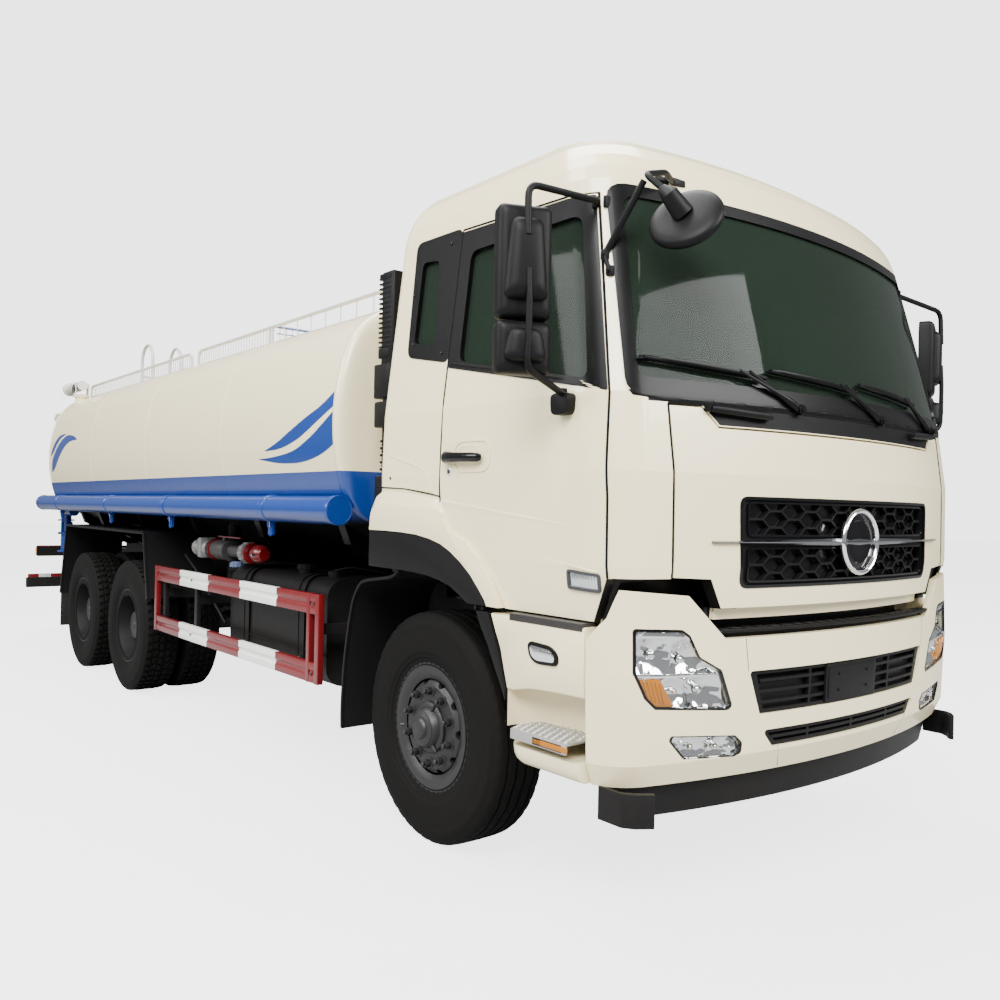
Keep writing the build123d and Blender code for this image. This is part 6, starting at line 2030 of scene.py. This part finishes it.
white.loft(rings, edge=1.5)
white.both_sides()
white.done("arch_bands", "cab", "cab_paint")

lip = Shape("black_plastic")
lip.prism(BLACK_LINE + list(reversed(BLACK_INNER)), "x", -1252, -1182, 5)
lip.prism(BLACK_INNER + [(y, z + 10) for y, z in reversed(BLACK_INNER)], "x", -1240, -1096, 2)
lip.both_sides()
lip.done("arch_lips", "cab", "black_plastic", ["arch_flares"])

LOWER_LIP = [(-555, 1128), (-600, 1041), (-640, 954), (-668, 877), (-684, 832), (-694, 700), (-686, 700),
             (-688, 774),
             (-649, 844), (-605, 918), (-561, 994), (-507, 1070), (-474, 1128)]
lower_lip = Shape("black_plastic")
lower_lip.prism(LOWER_LIP, "x", -1247, -1186, 4)
lower_lip.both_sides()
lower_lip.done("lower_arch_lips", "chassis", "black_plastic")

# %% [markdown]
# Ahead of the wheel the fairing stands out over the step like a shelf, and the step is a deep niche whose
# back curves round to the wheel side. A grey tread plate covers a white moulded base.

# %% Step fairing
FAIRING_FACE = [(-1137, 870), (-1000, 867), (-836, 858), (-730, 836), (-694, 836), (-672, 900), (-646, 985),
                (-612, 1060), (-580, 1128), (-1137, 1128)]
NICHE = [(-1244, -698), (-1226, -699), (-1196, -704), (-1160, -720), (-1130, -748), (-1108, -796),
         (-1099, -860),
         (-1096, -960), (-1096, -1136)]
STEP_BASE = [(-1268, -1136, 2), (-1272, -760, 60), (-1180, -690, 60), (-1010, -690, 10), (-1010, -1136, 2)]
# Heights of the white base, and how far its foot is drawn in at each.
BASE_ROWS = ((560, 1.0), (566, 0.6), (580, 0.25), (600, 0.06), (622, 0.0), (634, 0.0))


def shrunk(y, z, amount):
    """A point of the fairing's face moved inwards; the edge against the bumper stays."""
    inwards_y = 0 if y < -1100 else 1 if y < -900 else -1
    return y + amount * inwards_y, z + amount * (1 if z < 1000 else -1)


for side, _ in SIDES:
    fairing = Shape("cab_paint")
    loops = []
    for x, amount in ((-1060, 0), (-1238, 0), (-1246, 2), (-1250, 9)):
        loops.append([(x, *shrunk(y, z, amount)) for y, z in FAIRING_FACE])
    fairing.loft(loops, edge=0.8)
    back = [(x + 14, y + (6 if index < 5 else 0)) for index, (x, y) in enumerate(NICHE)]
    fairing.loft([[(x, y, z) for x, y in NICHE + back[::-1]] for z in (690, 850)])
    base = rounded_outline(STEP_BASE, 20, 6)
    fairing.loft([[(x + (34 * k if x < -1100 else 0), y - (26 * k if y > -800 else 0), z) for x, y in base]
                  for z, k in BASE_ROWS])
    replaced = ["step_fairings"] if side == "right" else ()
    finish_side(fairing, f"step_fairing_{side}", "chassis", side, "cab_paint", replaced)
print("arches and steps dressed")

# %% [markdown]
# The flap behind each front wheel is a bent plastic sheet with a rolled flange along its outer edge, which
# catches the light as a grey line. A rubber curtain hangs in its lower part.

# %% Front mudguards
FLAP = [(150, 1256), (214, 1222), (318, 1205), (430, 1190), (500, 1172), (545, 1130), (583, 1070), (617, 959),
        (649, 814), (669, 658),
        (678, 502), (674, 410)]
guard = Shape("black_plastic")
line = smooth_line(FLAP, 40)
normals = [(line[min(k + 1, 40)] - line[max(k - 1, 0)]).normalized() for k in range(41)]
for inner_x, outer_x, out, back in ((-760, -1226, 0, 4), (-1222, -1237, 7, 8)):
    sheet = [(p.x + n.y * -out, p.y + n.x * out) for p, n in zip(line, normals)]
    sheet += [(p.x + n.y * back, p.y - n.x * back) for p, n in reversed(list(zip(line, normals)))]
    guard.prism(sheet, "x", outer_x, inner_x, 2)
guard.box((-812, -432), (618, 652), (884, 916), 6)
guard.use("rubber").prism([(688, 402), (694, 402), (690, 640), (684, 640)], "x", -1220, -790, 1)
guard.both_sides()
guard.done("front_mudguard_flaps", "chassis", "black_plastic", ["front_mudguards"])

# %% [markdown]
# The pump's valves sit between fuel tank and rear wheels: a grey coupling with its toothed flange, a black
# ball valve with a red lever, a red cock, and a blue cap. Parts of this kind are turned and bolted, so
# turned profiles with bolt rings say more than any texture.

# %% Pump and valves
VALVE_X, VALVE_Z = -1000, 1222


PIPE_RING = [(-12, 40), (-11, 74), (11, 74), (12, 40)]
CAP_X, CAP_Y = -980, 2663
PUMP = (-702, 3150, 900)


def bolt_ring(shape, y, radius, count, across, height):
    """Bolts on a flange of the valve pipe."""
    for spot in circle_of((VALVE_X, y, VALVE_Z), radius, count, "y", 0.5):
        shape.hex_nut(spot, "y", across, height, 1)


valves = Shape("valve_grey")
valves.turned([(0, 50), (6, 54), (24, 54), (30, 44), (70, 34), (100, 40), (110, 62)],
              (VALVE_X, 3230, VALVE_Z), "y", 32)
body = [(VALVE_X + x, VALVE_Z + z) for x, z in ((-66, -70), (66, -70), (66, 78), (-66, 78))]
valves.prism(rounded_outline(body, 16), "y", 3150, 3212, 6)
valves.turned([(0, 46), (6, 52), (70, 60), (74, 66)], (VALVE_X, 3084, VALVE_Z), "y", 32)
bolt_ring(valves, 3224, 58, 4, 20, -14)
for y in (2412, 2432, 2452):
    valves.turned([(-6, 50), (-5, 72), (5, 72), (6, 50)], (VALVE_X, y, VALVE_Z), "y", 36, cap=False)
for x, y, z in circle_of((VALVE_X, 2404, VALVE_Z), 66, 10, "y"):
    valves.rod((x, y, z), (x, y + 56, z), 9, 10, 2)
valves.use("iron")
ball = [(0, 40), (20, 50), (60, 62), (120, 70), (200, 70), (260, 62), (300, 52), (340, 48)]
valves.turned(ball, (VALVE_X, 2740, VALVE_Z), "y", 32)
for y in (2740, 3040):
    valves.turned(PIPE_RING, (VALVE_X, y, VALVE_Z), "y", 36, cap=False)
    bolt_ring(valves, y + 12, 60, 8, 16, 10)
valves.use("red_paint")
valves.turned([(-5, 30), (-4, 78), (4, 78), (5, 30)], (VALVE_X, 2990, VALVE_Z), "y", 36, cap=False)
valves.box((VALVE_X - 12, VALVE_X + 12), (2560, 2960), (1312, 1322), 3)
valves.turned([(0, 38), (12, 52), (60, 62), (110, 58), (150, 44), (190, 30)], (VALVE_X, 2180, VALVE_Z), "y",
              32)
valves.turned([(-8, 40), (-7, 70), (7, 70), (8, 40)], (VALVE_X, 2370, VALVE_Z), "y", 32, cap=False)
valves.use("iron").rod((VALVE_X, 2380, VALVE_Z), (VALVE_X, 3060, VALVE_Z), 40, 24)
valves.rod((VALVE_X, 2860, 1280), (VALVE_X, 2860, 1316), 14, 14, 2)
valves.use("chrome").rod((VALVE_X - 60, 2190, VALVE_Z), (VALVE_X - 88, 2190, VALVE_Z), 8, 12, 2)
valves.use("blue_cap")
valves.turned([(0, 42), (6, 50), (34, 50), (40, 44), (44, 30), (44, 0.5)], (CAP_X, CAP_Y, 1108), "z", 24)
for x, y, z in circle_of((CAP_X, CAP_Y, 1112), 50, 12):
    valves.rod((x, y, z), (x, y, z + 30), 5, 8, 1)
valves.use("chassis_paint")
valves.turned([(0, 58), (5, 62), (14, 62), (18, 50)], (CAP_X, CAP_Y, 1092), "z", 28)
valves.tube([(CAP_X, CAP_Y, 1096), (CAP_X, CAP_Y, 1000), (-700, CAP_Y, 960)], 34, 70, 16)
valves.turned([(0, 168), (8, 172), (130, 172), (140, 160)], PUMP, "x", 44)
valves.turned([(0, 92), (150, 92), (158, 84)], (-862, *PUMP[1:]), "x", 32)
for spot in circle_of(PUMP, 150, 8, "x", 0.5):
    valves.hex_nut(spot, "x", 20, -12, 2)
valves.box((-600, -432), (3082, 3218), (782, 998), 10)
valves.tube([(-800, 3150, 960), (-800, 3150, 1424)], 54, 0, 24)
valves.tube([(-800, 3150, 1250), (-1000, 3150, VALVE_Z), (-1000, 3080, VALVE_Z)], 36, 60, 18)
valves.tube([(-480, 3560, 1180), (-700, 3500, 1300), (-900, 3300, 1290), (-1000, 3330, VALVE_Z)], 20, 120, 12)
valves.use("blue_paint")
for side_x in (-960, 960):
    valves.tube([(side_x, 7150, 1440), (side_x, 7480, 1440), (side_x, 7480, 990)], 52, 60, 24)
    for z in (987, 1182, 1330):
        valves.turned([(0, 56), (1, 84), (17, 84), (18, 56)], (side_x, 7480, z), "z", 32, cap=False)
    for spot in circle_of((side_x, 7480, 1200), 70, 6):
        valves.hex_nut(spot, "z", 18, 10, 1.5)
    valves.box((side_x - 60, side_x + 60), (7440, 7470), (1210, 1320), 8)
    valves.tube([(side_x, 7470, 1270), (side_x, 7545, 1270), (side_x, 7560, 1330)], 9, 20, 10)
valves.done("pump_and_valves", "chassis", "blue_paint", ["water_pipework"])

# %% [markdown]
# The fuel tank is a pressed black box with two strap bands over rubber, a locking cap on a raised neck, and
# a sender with its wire. The battery box has a ribbed cover with rubber hooks.

# %% Fuel tank and guards
fuel = Shape("chassis_paint")
fuel.turned([(0, 46), (8, 50), (30, 50), (34, 58), (60, 60), (66, 54), (68, 0.5)], (-900, 1760, 1118), "z",
            36)
for x, y, z in circle_of((-900, 1760, 1150), 58, 14):
    fuel.rod((x, y, z), (x, y, z + 26), 6, 8, 1)
fuel.box((-1056, -1052), (1206, 2594), (690, 700), 1)
strap = rounded_outline([(-1061, 500), (-1061, 1140), (-479, 1140), (-479, 500)], 118, 8)
inner = rounded_outline([(-1054, 507), (-1054, 1133), (-486, 1133), (-486, 507)], 112, 8)
for y in (1510, 2310):
    for middle in (y - 38, y + 38):
        walls = ((strap, -6), (strap, 6), (inner, 6), (inner, -6))
        fuel.loft([[(px, middle + dy, pz) for px, pz in outline] for outline, dy in walls], cap=False)
    fuel.use("iron").rod((-1066, y, 560), (-1066, y, 640), 8, 10, 1)
    fuel.hex_nut((-1066, y, 640), "z", 20, 14, 1.5)
    fuel.use("chassis_paint")
fuel.use("chrome").rod((-800, 1640, 1128), (-800, 1640, 1146), 16, 14, 2)
fuel.use("rubber").tube([(-800, 1640, 1140), (-740, 1500, 1176), (-600, 1300, 1150), (-460, 1240, 1100)], 7,
                        60, 10)
fuel.use("chassis_paint")
fuel.tube([(-1010, 3600, 1150), (-1000, 3330, 1010), (-980, 2860, 700)], 11, 0, 10)
for y in (1220, 1320, 1420, 1520, 1620, 1720):
    fuel.box((1038, 1046), (y - 24, y + 24), (650, 1030), 4)
for y in (1330, 1620):
    fuel.use("rubber").box((1042, 1052), (y - 12, y + 12), (930, 1060), 3)
    fuel.use("chassis_paint")
fuel.done("tank_and_battery_details", "chassis")

GUARD_ROWS = ((580, 690), (957, 1067))
rails = Shape("guard_paint")
for low, high in GUARD_ROWS:
    middle = (low + high) / 2
    groove = [(-1216, middle - 16), (-1209, middle - 9), (-1209, middle + 9), (-1216, middle + 16)]
    rails.prism([(-1216, low), *groove, (-1216, high), (-1186, high), (-1186, low)], "y", 982, 3678, 2)
rails.use("red_paint")
for y, wide in ((980, 44), (1090, 34), (3636, 44)):
    rails.prism([(-1218, y), (-1218, y + wide), (-1184, y + wide), (-1184, y)], "z", 578, 1069, 3)
for y in (1060, 2900, 3560):
    rails.use("chassis_paint").box((-1184, -1154), (y - 25, y + 25), (580, 1067), 3)
    rails.box((-1158, -432), (y - 25, y + 25), (842, 898), 3)
    for z in (630, 1010):
        rails.use("iron").hex_nut((-1216, y, z), "x", 16, -5, 1)
rails.both_sides()
rails.done("guard_rails", "chassis", "guard_paint", ["side_guards"])
print("guards with", len(GUARD_ROWS), "rails a side")

# %% [markdown]
# The rear fenders are folded sheet with an outward flange and a ribbed top, braced from the frame. Mud flaps
# hang behind the last wheels.

# %% Rear fenders
fender = Shape("chassis_paint")
FLANGE = [(3794, 802), (3925, 1321), (6304, 1321), (6506, 632), (6484, 626), (6288, 1300), (3942, 1300),
          (3816, 797)]
fender.prism(FLANGE, "x", -1240, -1222, 2)
for y in range(4050, 6250, 180):
    fender.box((-1220, -700), (y, y + 26), (1314, 1322), 3)
for y in (4120, 4880, 6150):
    fender.use("iron").hex_nut((-740, y, 1318), "z", 24, 10, 2)
    fender.use("chassis_paint")
fender.use("rubber").prism([(6494, 300), (6502, 300), (6506, 700), (6490, 700)], "x", -1226, -700, 1)
fender.use("chassis_paint").box((-1222, -704), (6486, 6510), (640, 672), 4)
fender.both_sides()
fender.done("rear_fender_details", "chassis")

# %% [markdown]
# The rear end needs its small parts: lamp segments with ribs, amber markers on the bar's ends, reflective
# stripes on the bumper bar, and the bolts of both bars.

# %% Rear end
rear = Shape("tail_lens")
for x0, x1, finish in ((-1110, -1010, "amber"), (-1004, -904, "tail_lens"), (-898, -828, "tail_lens")):
    rear.use(finish).box((x0, x1), (8046, 8056), (926, 1024), 4)
    for k in range(8):
        z = 932 + 12 * k
        rear.box((x0 + 4, x1 - 4), (8055, 8058), (z, z + 4), 1)
rear.use("chassis_paint").box((-1126, -812), (8020, 8048), (914, 1036), 4)
rear.use("amber").box((-1156, -1150), (7948, 7992), (950, 1006), 3)
rear.use("trim_black").box((-1153, -1146), (7942, 7998), (942, 1014), 3)
for k in range(4):
    rear.use("plate_blank" if k % 2 else "red_paint")
    rear.box((-1180 + 120 * k, -1062 + 120 * k), (8235, 8239.5), (600, 700), 1)
rear.both_sides()
for x in range(-900, 901, 300):
    rear.use("iron").hex_nut((x, 8000, 978), "y", 20, 9, 1.5)
rear.use("plate_blank").prism(rounded_outline([(-220, 930), (220, 930), (220, 1024), (-220, 1024)], 10), "y",
                              8003, 8008, 1)
rear.done("rear_details", "chassis")

# %% [markdown]
# Last come small things on the cab: the pressed panel behind the door, the screw and the dark seam beside
# it, a black line of painted shade, and two amber marker lamps on the roof.

# %% Small cab parts
small = Shape("cab_paint")
pressed = [(262, 1808), (150, 1780), (40, 1757), (-64, 1728), (-112, 1672), (-138, 1620), (100, 1642),
           (240, 1648)]
frame_on_skin(small, CAB_SIDE, pressed, drawn_in(pressed, 26), (20, 16), (2.4, -0.4), 3)
small.use("iron")
small.turned([(1, 7), (-2, 7), (-3, 4), (-3, 0.5)], CAB_SIDE(-2, 222, 1690), "x", 14)
# Painted shade: a black line for the seam beside the pressed panel.
small.use("gap_black")
seam = [CAB_SIDE(-1, y, z) for y, z in ((350, 1648), (100, 1640), (-140, 1612), (-192, 1604))]
small.sweep(seam, [3.2] * 4, 6)
small.both_sides()
small.done("cab_side_details", "cab")
lamps = Shape("black_plastic")
for x in (-795, 795):
    lamps.turned([(0, 34), (8, 32), (14, 26)], (x, -700, 3092), "z", 24)
    lamps.use("amber").turned([(12, 26), (24, 22), (30, 12), (31, 0.5)], (x, -700, 3092), "z", 24)
    lamps.use("black_plastic")
lamps.done("roof_markers", "cab")
print("small cab parts placed")

# %% [markdown]
# The last lines record how large the dressed truck is beside the CAD frame, because looks may never make
# the object larger, and then hand the scene over.

# %% Measure and finish
visual_box = [list(corner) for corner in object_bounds()]
growth = [1000 * (a - b) for a, b in zip(cad_box[0] + visual_box[1], visual_box[0] + cad_box[1])]
print("growth beyond the CAD box, mm:", [round(value, 1) for value in growth])
